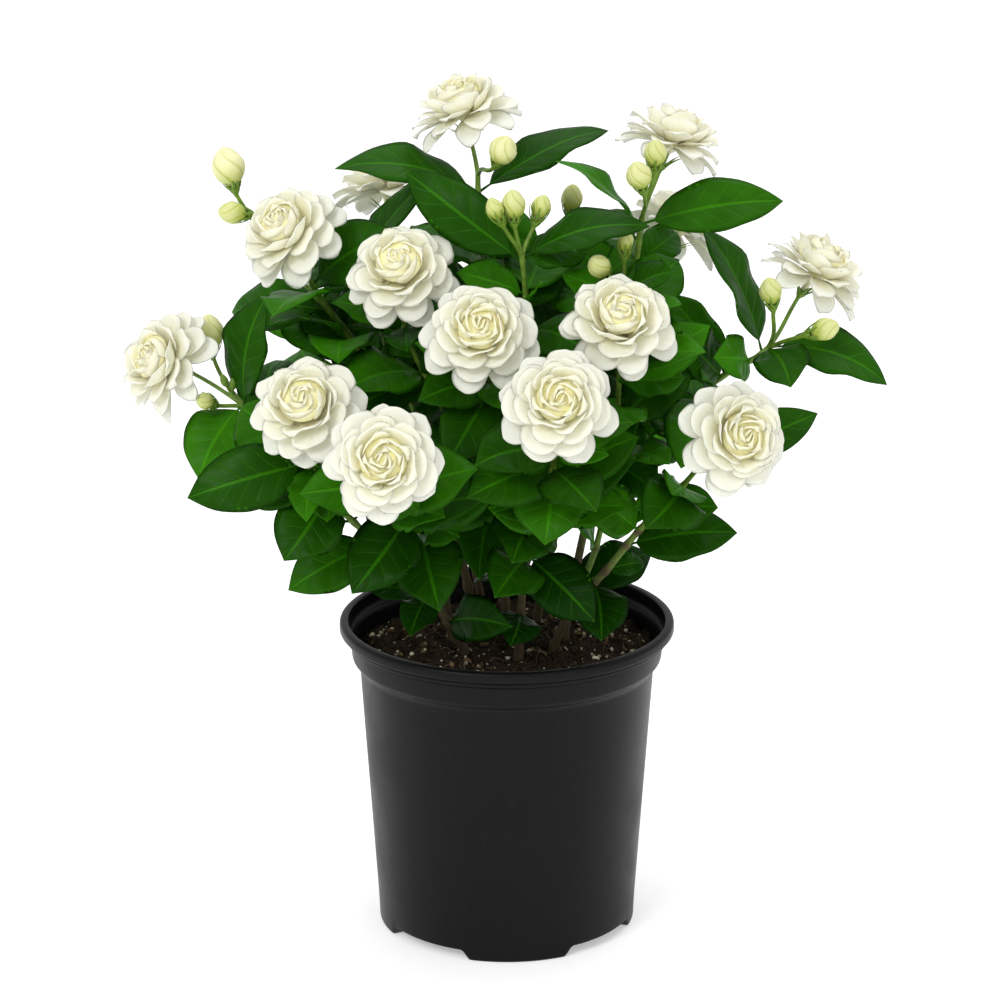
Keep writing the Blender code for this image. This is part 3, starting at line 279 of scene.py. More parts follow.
# Outline of the crown as seen from the front and SLOPE above, as (x, z + SLOPE y). Leaves
# placed by the rule stay inside it.
SLOPE = 0.315
CROWN = (
    (-151, 332), (-136, 348), (-103, 352), (-81, 376), (-53, 394), (-28, 390), (6, 376),
    (26, 366), (36, 383), (56, 386), (66, 371), (85, 366), (91, 337), (89, 314), (103, 306),
    (124, 300), (124, 288), (98, 280), (90, 259), (99, 216), (94, 203), (68, 187), (54, 160),
    (7, 156), (-55, 160), (-68, 178), (-106, 187), (-118, 216), (-154, 232), (-161, 259),
    (-139, 280), (-142, 306),
)
CROWN_DEPTH = 150.0
LOWEST_LEAF = 163.0

# Room kept round each bloom: its reach, which narrows above a height, and its lowest and
# highest point, from the foot of the calyx
BLOOM_REACH = 31.5
BLOOM_NARROWS = 20.0
BLOOM_LOW = 9.0
BLOOM_HIGH = 37.0

# Room kept round twigs. A leaf may come nearer to its own stem close to its root, and nearer to
# the other leaves of its own node.
TWIG_APART = 1.8
STALK_ROOM = 3.0
NEAR_ROOT = 9.0
SAME_NODE = 12.0
NODE_CLEAR = 16.0
NODE_APART = 3.0


# Vectors and paths

def unit(vector):
    vector = np.asarray(vector, float)
    return vector / np.linalg.norm(vector)


def turned_about(vector, axis, angle):
    """Turn a vector about a unit axis."""
    return (vector * math.cos(angle) + np.cross(axis, vector) * math.sin(angle)
            + axis * np.dot(axis, vector) * (1 - math.cos(angle)))


def smooth_path(knots, step=2.0):
    """Catmull-Rom curve through the knots, with a point about every step millimetres."""
    knots = np.array(knots, float)
    knots = np.vstack([2 * knots[0] - knots[1], knots, 2 * knots[-1] - knots[-2]])
    pieces = []
    for a, b, c, d in zip(knots, knots[1:], knots[2:], knots[3:]):
        count = max(1, round(np.linalg.norm(c - b) / step))
        t = np.linspace(0, 1, count, endpoint=False)[:, None]
        pieces.append(0.5 * (2 * b + (c - a) * t + (2 * a - 5 * b + 4 * c - d) * t ** 2
                             + (3 * b - a - 3 * c + d) * t ** 3))
    pieces.append(knots[-2:-1])
    return np.vstack(pieces)


def stalk_path(start, leaving, end, arriving, count=7):
    """Bezier curve that leaves start along one direction and reaches end along another."""
    reach = np.linalg.norm(end - start) * 0.4
    a, b, c, d = start, start + leaving * reach, end - arriving * reach, end
    t = np.linspace(0, 1, count)[:, None]
    return (a * (1 - t) ** 3 + 3 * b * t * (1 - t) ** 2 + 3 * c * t ** 2 * (1 - t)
            + d * t ** 3)


def run_along(path):
    """Distance along a path at each of its points."""
    return np.concatenate([[0], np.cumsum(np.linalg.norm(np.diff(path, axis=0), axis=1))])


def shoot_path(name):
    return smooth_path(SHOOTS[name][3])


def shoot_line(name):
    """The shoot's path and radii thinned out to the rings of its tube."""
    path = shoot_path(name)
    length = np.linalg.norm(np.diff(path, axis=0), axis=1).sum()
    count = max(2, round(length / SHOOT_STEP) + 1)
    picks = np.linspace(0, len(path) - 1, count).round().astype(int)
    return path[picks], np.linspace(SHOOTS[name][1], SHOOTS[name][2], count)


def on_shoot(name, place):
    """The point on the middle of a shoot's tube that is nearest to a place."""
    line, _ = shoot_line(name)
    start, run = line[:-1], np.diff(line, axis=0)
    t = np.clip(((place - start) * run).sum(axis=1) / (run ** 2).sum(axis=1), 0, 1)
    spots = start + t[:, None] * run
    return spots[np.linalg.norm(spots - place, axis=1).argmin()]


def bloom_foot(centre, axis):
    return np.array(centre, float) - HEAD * unit(axis)


def bud_foot(centre, axis, length):
    return np.array(centre, float) - (SEAT + length / 2) * unit(axis)


# Leaf form

class Leaf:
    """A leaf from its root to its tip: midrib, half width and the direction of both."""

    def __init__(self, root, tip, width, roll, arch, phase):
        self.root, self.tip = np.array(root, float), np.array(tip, float)
        self.width, self.arch, self.phase = width, arch, phase
        reach = self.tip - self.root
        self.length = np.linalg.norm(reach)
        self.along = reach / self.length
        outward = self.root + self.tip
        outward[2] = 0
        hint = UP + 0.6 * unit(outward + (0, -1e-6, 0))
        normal = unit(hint - self.along * np.dot(hint, self.along))
        self.normal = turned_about(normal, self.along, math.radians(roll))
        self.side = np.cross(self.normal, self.along)

    def half_width(self, s):
        """Egg-shaped outline after a thin petiole, drawn out to a point."""
        u = np.clip((s - PETIOLE) / (1 - PETIOLE), 0, 1)
        blade = u ** 0.6 * (1 - u) ** 0.85 / 0.374
        return np.maximum(self.width / 2 * blade, PETIOLE_HALF * (1 - s))

    def midrib(self, s):
        bow = self.arch * self.length * 4 * s * (1 - s)
        return (self.root + np.outer(s * self.length, self.along)
                + np.outer(bow, self.normal))

    def point(self, s, v):
        """Place on the blade at s along it and v across it, from -1 to 1."""
        half = self.half_width(s)
        wave = LEAF_WAVE * np.sin(2 * math.pi * 2.4 * s + self.phase + 1.3 * np.sign(v))
        lift = np.abs(v) * (LEAF_FOLD * half + wave * half / (self.width / 2))
        return (self.midrib(s) + np.outer(v * half, self.side)
                + np.outer(lift, self.normal))

    def samples(self):
        s, v = np.meshgrid(np.linspace(0.12, 1, 12), np.linspace(-1, 1, 5))
        return self.point(s.ravel(), v.ravel())


# Where the leaves go

class Crown:
    """Everything placed so far, to keep the leaves clear of it: blooms as foot and axis, twigs
    as points along them, and leaves as points on their blades."""

    def __init__(self, blooms):
        self.blooms = blooms
        self.twigs = []
        self.blades = []

    def add_twig(self, points, radius, stem):
        points = np.asarray(points, float)
        self.twigs.append((points, radius, stem, points.min(axis=0), points.max(axis=0)))

    def add_leaf(self, leaf, stem):
        points = leaf.samples()
        self.blades.append((points, leaf.root, stem, points.min(axis=0), points.max(axis=0)))

    def clear(self, leaf, stem, spacing):
        points = leaf.samples()
        return (points[:, 2].min() > LOWEST_LEAF and self.clear_of_blooms(points)
                and self.clear_of_twigs(points, leaf, stem)
                and self.clear_of_blades(points, leaf, stem, spacing))

    def clear_of_blooms(self, points):
        for foot, axis in self.blooms:
            offset = points - foot
            height = offset @ axis
            radius = np.linalg.norm(offset - np.outer(height, axis), axis=1)
            limit = BLOOM_REACH - 0.8 * np.maximum(height - BLOOM_NARROWS, 0)
            if np.any((height > BLOOM_LOW) & (height < BLOOM_HIGH) & (radius < limit)):
                return False
        return True

    def clear_of_twigs(self, points, leaf, stem):
        for places, radius, owner in near_clouds(self.twigs, points, TWIG_APART + NEAR_ROOT):
            if owner == stem:
                places = past(places, leaf.root, NEAR_ROOT)
            if len(places) and distance(points, places) < radius + TWIG_APART:
                return False
        return True

    def clear_of_blades(self, points, leaf, stem, spacing):
        for places, root, owner in near_clouds(self.blades, points, spacing):
            gap = spacing
            cloud = points
            if owner == stem and np.linalg.norm(root - leaf.root) < SAME_NODE:
                cloud = past(points, leaf.root, NODE_CLEAR)
                gap = NODE_APART
            if distance(cloud, places) < gap:
                return False
        return True


def near_clouds(clouds, points, margin):
    """The clouds of points whose boxes come within a margin of the points' own box."""
    if not clouds:
        return []
    low = np.array([cloud[3] for cloud in clouds]) - margin
    high = np.array([cloud[4] for cloud in clouds]) + margin
    near = np.all((low < points.max(axis=0)) & (high > points.min(axis=0)), axis=1)
    return [clouds[index][:3] for index in np.flatnonzero(near)]


def past(points, root, reach):
    """The points that lie further than a reach from a root."""
    return points[np.linalg.norm(points - root, axis=1) > reach]


def distance(points, others):
    """Shortest distance between two clouds of points."""
    gaps = points[:, None, :] - others[None, :, :]
    return math.sqrt((gaps ** 2).sum(axis=2).min())


def in_outline(points):
    """True if every point lies inside the crown's outline and depth."""
    x, z = points[:, 0], points[:, 2] + SLOPE * points[:, 1]
    inside = np.zeros(len(points), bool)
    corners = np.array(CROWN, float)
    for (x0, z0), (x1, z1) in zip(corners, np.roll(corners, -1, axis=0)):
        crosses = (z0 > z) != (z1 > z)
        rise = z1 - z0 if z1 != z0 else 1.0
        inside ^= crosses & (x < x0 + (z - z0) * (x1 - x0) / rise)
    return bool(inside.all()) and np.abs(points[:, 1]).max() < CROWN_DEPTH


def aimed_leaves(crown, draw):
    """The listed leaves, each turned a few degrees where something is in its way."""
    placed = []
    for shoot, near, tip, width, roll, arch in LEAVES:
        stem = SHOOTS[shoot][0]
        root = on_shoot(shoot, np.array(near, float))
        phase = draw.uniform(0, 6.28)
        for swing, tilt, shrink in aim_steps():
            leaf = swung_leaf(root, tip, swing, tilt, shrink, width, roll, arch, phase)
            if crown.clear(leaf, stem, AIMED_APART):
                crown.add_leaf(leaf, stem)
                placed.append((stem, leaf))
                break
    return placed


def aim_steps():
    for shrink in (1.0, 0.88, 0.76):
        for turn in (0, 5, 10, 16, 22):
            for swing, tilt in ((turn, 0), (-turn, 0), (0, turn), (0, -turn), (turn, turn),
                                (-turn, -turn), (turn, -turn), (-turn, turn)):
                yield swing, tilt, shrink


def swung_leaf(root, tip, swing, tilt, shrink, width, roll, arch, phase):
    """A leaf whose reach is turned about Z by swing and raised by tilt, both in degrees."""
    reach = (np.array(tip, float) - root) * shrink
    reach = turned_about(reach, UP, math.radians(swing))
    level = np.array((-reach[1], reach[0], 0.0))
    if np.linalg.norm(level) > 1e-6:
        reach = turned_about(reach, unit(level), math.radians(-tilt))
    return Leaf(root, root + reach, width * shrink, roll, arch, phase)


def along_shoots(crown, draw, spacing, spread, find):
    """Opposite leaves along every shoot, each pair about a right angle on from the last.

    The spacing is the first place, how far past the end the last may be, and the step.
    """
    first, past, step = spacing
    placed = []
    for shoot, (stem, _, _, _) in SHOOTS.items():
        path = shoot_path(shoot)
        run = run_along(path)
        turn = draw.uniform(0, math.pi)
        for at in np.arange(first, run[-1] + past, step):
            root = on_shoot(shoot, path[min(np.searchsorted(run, at), len(path) - 1)])
            for half_turn in (0, math.pi):
                leaf = find(stem, root, turn + half_turn)
                if leaf:
                    crown.add_leaf(leaf, stem)
                    placed.append((stem, leaf))
            turn += math.pi / 2 + draw.uniform(-spread, spread)
    return placed


def first_fit(root, length, breadth, form, steps, fits):
    """The first leaf that fits of a fixed series of sizes and aims, or nothing.

    The steps are the shares of the length, the azimuths and the slopes to try.
    """
    for shrink, angle, slope in itertools.product(*steps):
        size = length * shrink
        aim = np.array((math.cos(angle) * math.cos(slope), math.sin(angle) * math.cos(slope),
                        math.sin(slope)))
        leaf = Leaf(root, root + aim * size, size * breadth, *form)
        if fits(leaf):
            return leaf
    return None


def paired_leaves(crown, draw):
    """Crossed pairs of leaves along every shoot, wherever there is room for them."""
    def find(stem, root, azimuth):
        choice = [draw.uniform(-1, 1) for _ in range(6)]
        azimuth, rise = azimuth + 0.3 * choice[2], math.radians(14 + 16 * choice[1])
        steps = ((1.0, 0.82, 0.66), [azimuth + swing for swing in (0, 0.45, -0.45, 0.9, -0.9)],
                 [rise + lift for lift in (0, 0.45, -0.45)])
        form = 12 * choice[4], 0.08 + 0.04 * choice[5], 3 * choice[2]
        return first_fit(root, 50 + 8 * choice[0], 0.5 + 0.05 * choice[3], form, steps,
                         lambda leaf: (in_outline(leaf.samples())
                                       and crown.clear(leaf, stem, PAIRED_APART)))
    return along_shoots(crown, draw, (FIRST_PAIR, 1, INTERNODE), 0.3, find)


def plan_stalks():
    """Flower and bud stalks: stem, path, foot and axis of the calyx, and how long its sepals
    are and how they lean at their foot and tip."""
    heads = [(shoot, bloom_foot(centre, axis), axis, 12.0, (30, 58))
             for shoot, centre, axis in BLOOMS]
    heads += [(shoot, bud_foot(centre, axis, length), axis, 9.0,
               (18 + 4 * (0.62 * radius + 2.2), 4))
              for shoot, centre, axis, length, radius in BUDS]
    stalks = []
    for shoot, foot, axis, length, lean in heads:
        path = shoot_path(shoot)
        stalk = stalk_path(path[-2], unit(path[-1] - path[-3]), foot + unit(axis), unit(axis))
        stalks.append((SHOOTS[shoot][0], stalk, foot, unit(axis), length, lean))
    return stalks


def new_crown(stalks):
    """A crown that holds the blooms, buds, shoots and stalks."""
    crown = Crown([(bloom_foot(centre, axis), unit(axis)) for _, centre, axis in BLOOMS])
    for _, centre, axis, length, radius in BUDS:
        foot = bud_foot(centre, axis, length)
        crown.add_twig([foot + unit(axis) * (SEAT + length * t) for t in (0.25, 0.5, 0.75)],
                       radius, "bud")
    for name, (stem, radius, _, _) in SHOOTS.items():
        crown.add_twig(shoot_path(name), radius, stem)
    for stem, stalk, _, _, _, _ in stalks:
        crown.add_twig(stalk, STALK_ROOM, stem)
    return crown


# Leaves that only the looks have: they fill the crown between the leaves of the plan

FILL_INTERNODE = 10.0
FILL_FIRST = 12.0
FILL_APART = 4.6
FILL_LOWEST = 228.0
# Room kept in front of blooms nearer than the back, and in front of and round buds and shoots
SIGHT_REACH = 27.0
BACK = 40.0
BUD_SIGHT = 2.5
BUD_ROOM = 1.0
BUD_NEAR = 9.0
SHOOT_ROOM = 2.8
# Shares of the turn to the light to try in order, and the most that a leaf turns, in radians
LIGHT = np.array((0, -0.94, 0.33))
AIMED_TURNS = (0.8, 0.6, 0.4, 0.2), 0.85
PAIRED_TURNS = (0.4, 0.2), 0.4
FILL_TURN = 0.5, 0.5


def bud_marks():
    """Each bud's centre, and the reach round it in which nothing may hide it."""
    return [(np.array(centre, float), radius + BUD_SIGHT) for _, centre, _, _, radius in BUDS]


def seen_free(points, marks):
    """True if no point hides a bloom or bud from the front, seen from SLOPE above."""
    across, up = points[:, 0], points[:, 2] + SLOPE * points[:, 1]
    for place, reach in marks:
        hidden = np.hypot(across - place[0], up - place[2] - SLOPE * place[1]) < reach
        if np.any(hidden & (points[:, 1] < place[1])):
            return False
    return True


def faced(leaf, share, most):
    """Turn a leaf about its midrib a share of the way to the light in front, up to a limit."""
    flat = LIGHT - leaf.along * np.dot(LIGHT, leaf.along)
    off = math.atan2(np.dot(np.cross(leaf.normal, flat), leaf.along), np.dot(leaf.normal, flat))
    angle = max(-most, min(most, off * share))
    leaf.normal = turned_about(leaf.normal, leaf.along, angle)
    leaf.side = np.cross(leaf.normal, leaf.along)
    return leaf


def pierced_by_none(crown, points, leaf, stem):
    """True if the leaf stays off the buds and, past its root, off every shoot and stalk."""
    for places, radius, owner in near_clouds(crown.twigs, points, BUD_NEAR):
        if owner == stem:
            places = past(places, leaf.root, NEAR_ROOT)
        room = radius + BUD_ROOM if owner == "bud" else SHOOT_ROOM
        if len(places) and distance(points, places) < room:
            return False
    return True


def turned_clear(crown, stem, leaf, shares, most):
    """Turn a leaf to the light by the first share that keeps it off twigs, blooms and buds."""
    marks = bud_marks()
    own = leaf.normal, leaf.side
    for share in shares:
        points = faced(leaf, share, most).samples()
        if (crown.clear_of_blooms(points) and pierced_by_none(crown, points, leaf, stem)
                and seen_free(points, marks)):
            return
        leaf.normal, leaf.side = own


def fill_leaves(crown, draw):
    """Smaller leaves between the crossed pairs, clear of twigs and blooms and never in front."""
    marks = [(np.array(centre, float), SIGHT_REACH) for _, centre, _ in BLOOMS
             if centre[1] < BACK] + bud_marks()

    def find(stem, root, azimuth):
        length, rise = draw.uniform(38, 58), draw.uniform(-0.1, 0.6)
        form = draw.uniform(-18, 18), draw.uniform(0.04, 0.12), draw.uniform(0, 6.28)
        steps = ((1.0, 0.84, 0.7, 0.58),
                 [azimuth + swing for swing in (0, 0.6, -0.6, 1.2, -1.2)], [rise])

        def fits(leaf):
            points = faced(leaf, *FILL_TURN).samples()
            return (points[:, 2].min() > FILL_LOWEST and in_outline(points)
                    and seen_free(points, marks) and crown.clear(leaf, stem, FILL_APART))
        return first_fit(root, length, 0.56, form, steps, fits)
    return along_shoots(crown, draw, (FILL_FIRST, 0, FILL_INTERNODE), 0.4, find)


# Surfaces: grids of points that close into meshes

def stacked(*parts):
    """Arrays whose shapes fit together, as one array with a last axis that runs over them."""
    return np.stack(np.broadcast_arrays(*parts), axis=-1)


def all_round(count):
    return np.linspace(0, 2 * math.pi, count, endpoint=False)


def turned(radius, height, angle):
    """A section of radii and heights turned about Z."""
    return stacked(radius * np.cos(angle), radius * np.sin(angle), height)


def closed_points(values):
    """Values on the rings of lofts as vertices: the mean of each end ring, then the rest.

    The array runs over lofts, rings and places round a ring, with any last axis.
    """
    count, rings = values.shape[:2]
    poles = values[:, [0, rings - 1]].mean(axis=2)
    body = values[:, 1:-1].reshape(count, -1, *values.shape[3:])
    return np.concatenate([poles, body], axis=1).reshape(-1, *values.shape[3:])


def closed_faces(count, rings, around):
    """Quads between the rings and fans of triangles at both ends, for every loft."""
    inner = rings - 2
    per = 2 + inner * around
    here = np.arange(around)
    after = (here + 1) % around
    row = 2 + np.arange(inner)[:, None] * around
    low, high = row[:-1], row[1:]
    quads = np.stack([low + here, low + after, high + after, high + here], axis=-1).reshape(-1, 4)
    first = np.stack([np.zeros_like(here), row[0] + after, row[0] + here], axis=-1)
    last = np.stack([np.ones_like(here), row[-1] + here, row[-1] + after], axis=-1)
    fans = np.concatenate([first, last])
    start = (np.arange(count) * per)[:, None, None]
    return (start + quads).reshape(-1, 4), (start + fans).reshape(-1, 3)


def outward(points, quads, fans):
    """The faces, turned round if they face inwards: the sum of a x b . c over the corners of
    their triangles, six times the volume that they enclose, is then below zero."""
    a, b, c = points[np.concatenate([quads[:, :3], quads[:, [0, 2, 3]], fans])].swapaxes(0, 1)
    if (np.cross(a, b) * c).sum() < 0:
        return quads[:, ::-1], fans[:, ::-1]
    return quads, fans


def linked(name, data):
    """A new object of the scene that shows the data."""
    made = bpy.data.objects.new(name, data)
    bpy.context.scene.collection.objects.link(made)
    return made


class Surface:
    """Closed lofts gathered for one mesh, with their UV and named values."""

    def __init__(self):
        self.points, self.quads, self.fans, self.uv = [], [], [], []
        self.values = {}
        self.total = 0

    def add(self, rings, uv, **values):
        """Lofts of the shape (lofts, rings, around, 3), their UV, and one number each."""
        points = closed_points(rings)
        quads, fans = outward(points, *closed_faces(*rings.shape[:3]))
        self.quads.append(quads + self.total)
        self.fans.append(fans + self.total)
        self.points.append(points)
        self.uv.append(closed_points(np.broadcast_to(uv, (*rings.shape[:3], 2))))
        for key, value in values.items():
            spread = np.broadcast_to(value, rings.shape[:3])
            self.values.setdefault(key, []).append(closed_points(spread))
        self.total += len(points)

    def make(self, name, finish, slot, *nodes):
        """The finished piece, in metres: it rides on the body and stands for the nodes."""
        points, uv = np.concatenate(self.points), np.concatenate(self.uv)
        quads, fans = np.concatenate(self.quads), np.concatenate(self.fans)
        corners = np.concatenate([quads.ravel(), fans.ravel()]).astype(np.int32)
        starts = np.concatenate([np.arange(len(quads)) * 4,
                                 len(quads) * 4 + np.arange(len(fans)) * 3]).astype(np.int32)
        mesh = bpy.data.meshes.new(name)
        mesh.vertices.add(len(points))
        mesh.vertices.foreach_set("co", (points * MM).astype(np.float32).ravel())
        mesh.loops.add(len(corners))
        mesh.loops.foreach_set("vertex_index", corners)
        mesh.polygons.add(len(starts))
        mesh.polygons.foreach_set("loop_start", starts)
        mesh.update(calc_edges=True)
        layer = mesh.uv_layers.new(name="UVMap")
        layer.data.foreach_set("uv", uv[corners].astype(np.float32).ravel())
        for key, parts in self.values.items():
            value = mesh.attributes.new(key, "FLOAT", "POINT")
            value.data.foreach_set("value", np.concatenate(parts).astype(np.float32))
        mesh.shade_smooth()
        mesh.materials.append(finish)
        piece = linked(name, mesh)
        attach(piece, BODY)
        if nodes:
            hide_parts(*nodes)
        return piece


def blade_section(across):
    """Places round the section of a thin blade: v runs over the top from edge to edge and back
    below, and the stand-off is the square root of 1 - v squared, above and then below."""
    over = np.linspace(-1, 1, across + 1)
    v = np.concatenate([over, over[::-1][1:-1]])
    side = np.concatenate([np.ones(across + 1), -np.ones(across - 1)])
    return v, side * np.sqrt(1 - v ** 2)


def blade_uv(s, v):
    """Across a blade from 0 to 1, and along it."""
    return stacked(0.5 + 0.5 * v[None, :], s[:, None])[None]


def blades_round(turn, tilt, radius, height, sideways, lift):
    """Blades round Z. A point lies out by the radius and up by the height, then sideways by
    one amount and off the blade by another, square to the tilt from the axis."""
    out, across = (stacked(x, y, 0)[:, None, None]
                   for x, y in ((np.cos(turn), np.sin(turn)), (-np.sin(turn), np.cos(turn))))
    tilt, radius, height = (part[:, :, None, None] for part in (tilt, radius, height))
    face = -out * np.cos(tilt) + UP * np.sin(tilt)
    return out * radius + UP * height + across * sideways[..., None] + face * lift[..., None]


def unit_rows(vectors):
    return vectors / np.linalg.norm(vectors, axis=-1, keepdims=True)


def tube_rings(path, radii, around):
    """A round tube: circles across a path, whose ends are drawn in to the path's end points.

    Each circle is spanned by the path's direction crossed with a fixed direction, and by the
    direction crossed with that.
    """
    along = unit_rows(np.gradient(path, axis=0))
    fixed = np.eye(3)[np.abs(along).max(axis=0).argmin()]
    side = unit_rows(np.cross(along, fixed))
    other = np.cross(along, side)
    angle = all_round(around)
    circle = np.cos(angle)[:, None] * side[:, None] + np.sin(angle)[:, None] * other[:, None]
    rings = path[:, None] + np.broadcast_to(radii, len(path))[:, None, None] * circle
    ends = [np.broadcast_to(path[i], (1, around, 3)) for i in (0, -1)]
    return np.concatenate([ends[0], rings, ends[1]])[None]


def tube_uv(rings, path):
    """Turn round the tube and millimetres along it."""
    run = run_along(path)
    run = np.concatenate([[0], run, run[-1:]])
    turn = np.linspace(0, 1, rings.shape[2], endpoint=False)
    return stacked(turn[None, :], run[:, None])[None]


def turn_to(axis):
    """Rotation that carries +Z to an axis, as rows to multiply points by."""
    turn = Vector((0, 0, 1)).rotation_difference(Vector(axis)).to_matrix()
    return np.array(turn).T


def placed(points, foot, axis):
    return points @ turn_to(axis) + np.asarray(foot, float)


# Finishes

def node(tree, kind, inputs=None, **settings):
    """A node whose inputs are linked where a socket is given, and set where a value is."""
    made = tree.nodes.new(kind)
    for key, value in settings.items():
        setattr(made, key, value)
    for key, value in (inputs or {}).items():
        if isinstance(value, bpy.types.NodeSocket):
            tree.links.new(value, made.inputs[key])
        else:
            made.inputs[key].default_value = value
    return made


def maths(tree, operation, *values, clamp=False):
    made = node(tree, "ShaderNodeMath", dict(enumerate(values)), operation=operation)
    made.use_clamp = clamp
    return made.outputs[0]


def smooth_mask(tree, value, low, high, start=0.0, end=1.0):
    """start below low, end above high, and a smooth step between."""
    made = node(tree, "ShaderNodeMapRange",
                {"Value": value, "From Min": low, "From Max": high, "To Min": start,
                 "To Max": end}, interpolation_type="SMOOTHSTEP")
    return made.outputs["Result"]


def mixed(tree, factor, first, second):
    made = node(tree, "ShaderNodeMix", data_type="RGBA")
    for socket, value in ((made.inputs[0], factor), (made.inputs[6], first),
                          (made.inputs[7], second)):
        if isinstance(value, bpy.types.NodeSocket):
            tree.links.new(value, socket)
        else:
            socket.default_value = value
    return made.outputs[2]


def shade(colour, factor=1.0):
    return (*(channel * factor for channel in colour[:3]), 1.0)


def value_of(tree, name):
    return node(tree, "ShaderNodeAttribute", attribute_name=name).outputs["Fac"]


def uv_parts(tree):
    """The two coordinates of the UV map."""
    place = node(tree, "ShaderNodeTexCoord").outputs["UV"]
    return node(tree, "ShaderNodeSeparateXYZ", {0: place}).outputs[:2]


def new_group(name, inputs, outputs):
    """A node group with float inputs and outputs, and its two end nodes."""
    tree = bpy.data.node_groups.new(name, "ShaderNodeTree")
    kind = "NodeSocketFloat"
    for label, default in inputs.items():
        socket = tree.interface.new_socket(name=label, in_out="INPUT", socket_type=kind)
        socket.default_value = default
    for label in outputs:
        tree.interface.new_socket(name=label, in_out="OUTPUT", socket_type=kind)
    return tree, tree.nodes.new("NodeGroupInput"), tree.nodes.new("NodeGroupOutput")


def cloud_group():
    """Soft patches in Object coordinates: noise of a given scale, cut off between two levels."""
    if "Soft Patches" in bpy.data.node_groups:
        return bpy.data.node_groups["Soft Patches"]
    tree, given, result = new_group(
        "Soft Patches", {"Scale": 60.0, "Detail": 3.0, "Low": 0.35, "High": 0.65}, ["Mask"])
    place = node(tree, "ShaderNodeTexCoord").outputs["Object"]
    noise = node(tree, "ShaderNodeTexNoise", {"Vector": place, "Scale": given.outputs["Scale"],
                                              "Detail": given.outputs["Detail"]})
    mask = smooth_mask(tree, noise.outputs["Fac"], given.outputs["Low"], given.outputs["High"])
    tree.links.new(mask, result.inputs["Mask"])
    return tree


def streak_group():
    """Fine streaks along a surface: noise on the UV map, stretched along its second axis."""
    if "Long Streaks" in bpy.data.node_groups:
        return bpy.data.node_groups["Long Streaks"]
    tree, given, result = new_group("Long Streaks", {"Across": 30.0, "Along": 1.5}, ["Streak"])
    across, along = uv_parts(tree)
    place = node(tree, "ShaderNodeCombineXYZ", {
        0: maths(tree, "MULTIPLY", across, given.outputs["Across"]),
        1: maths(tree, "MULTIPLY", along, given.outputs["Along"])})
    noise = node(tree, "ShaderNodeTexNoise", {"Vector": place.outputs[0], "Scale": 1.0,
                                              "Detail": 3.0})
    tree.links.new(noise.outputs["Fac"], result.inputs["Streak"])
    return tree


def vein_group():
    """Leaf veins on the UV map: the rib along the middle, side veins that leave it at a slant
    and bend towards the tip, and the swell of the blade between them."""
    tree, given, result = new_group("Leaf Veins", {"Pairs": 7.0, "Slant": 0.2},
                                    ["Rib", "Veins", "Swell"])
    across, along = uv_parts(tree)
    side = maths(tree, "MULTIPLY_ADD", across, 2.0, -1.0)
    off = maths(tree, "ABSOLUTE", side)
    rib = smooth_mask(tree, off, 0.02, 0.085, 1.0, 0.0)
    bend = maths(tree, "MULTIPLY", maths(tree, "POWER", off, 0.8), given.outputs["Slant"])
    step = maths(tree, "MULTIPLY", maths(tree, "SIGN", side), 0.03)
    line = maths(tree, "ADD", maths(tree, "SUBTRACT", along, bend), step)
    count = maths(tree, "MULTIPLY", line, given.outputs["Pairs"])
    near = maths(tree, "ABSOLUTE", maths(tree, "SUBTRACT", maths(tree, "FRACT", count), 0.5))
    veins = smooth_mask(tree, near, 0.02, 0.1, 1.0, 0.0)
    fade = smooth_mask(tree, off, 0.5, 0.95, 1.0, 0.0)
    swell = maths(tree, "MULTIPLY", smooth_mask(tree, near, 0.0, 0.5),
                  smooth_mask(tree, off, 0.0, 0.3))
    tree.links.new(rib, result.inputs["Rib"])
    tree.links.new(maths(tree, "MULTIPLY", veins, fade), result.inputs["Veins"])
    tree.links.new(swell, result.inputs["Swell"])
    return tree


def grouped(tree, group, **inputs):
    made = node(tree, "ShaderNodeGroup", node_tree=group)
    for label, value in inputs.items():
        made.inputs[label].default_value = value
    return made


def patches_on(tree, scale, detail, low, high):
    """The mask of the Soft Patches group."""
    return grouped(tree, cloud_group(), Scale=scale, Detail=detail, Low=low, High=high).outputs[0]


def streaks_on(tree, across, along):
    """The noise of the Long Streaks group."""
    return grouped(tree, streak_group(), Across=across, Along=along).outputs[0]


def new_finish(name, roughness, specular):
    """A material, its tree and its Principled BSDF, with plain roughness and gloss."""
    finish = bpy.data.materials.new(name)
    finish.use_nodes = True
    tree = finish.node_tree
    shader = tree.nodes["Principled BSDF"]
    shader.inputs["Roughness"].default_value = roughness
    shader.inputs["Specular IOR Level"].default_value = specular
    return finish, tree, shader


def bump(tree, shader, height, distance, strength):
    made = node(tree, "ShaderNodeBump", {"Height": height, "Distance": distance,
                                         "Strength": strength})
    tree.links.new(made.outputs["Normal"], shader.inputs["Normal"])


def let_light_in(shader, weight, radius, scale):
    """Light that spreads under the surface, by a share, a reach for each colour and a scale."""
    shader.inputs["Subsurface Weight"].default_value = weight
    shader.inputs["Subsurface Radius"].default_value = radius
    shader.inputs["Subsurface Scale"].default_value = scale


# Pot

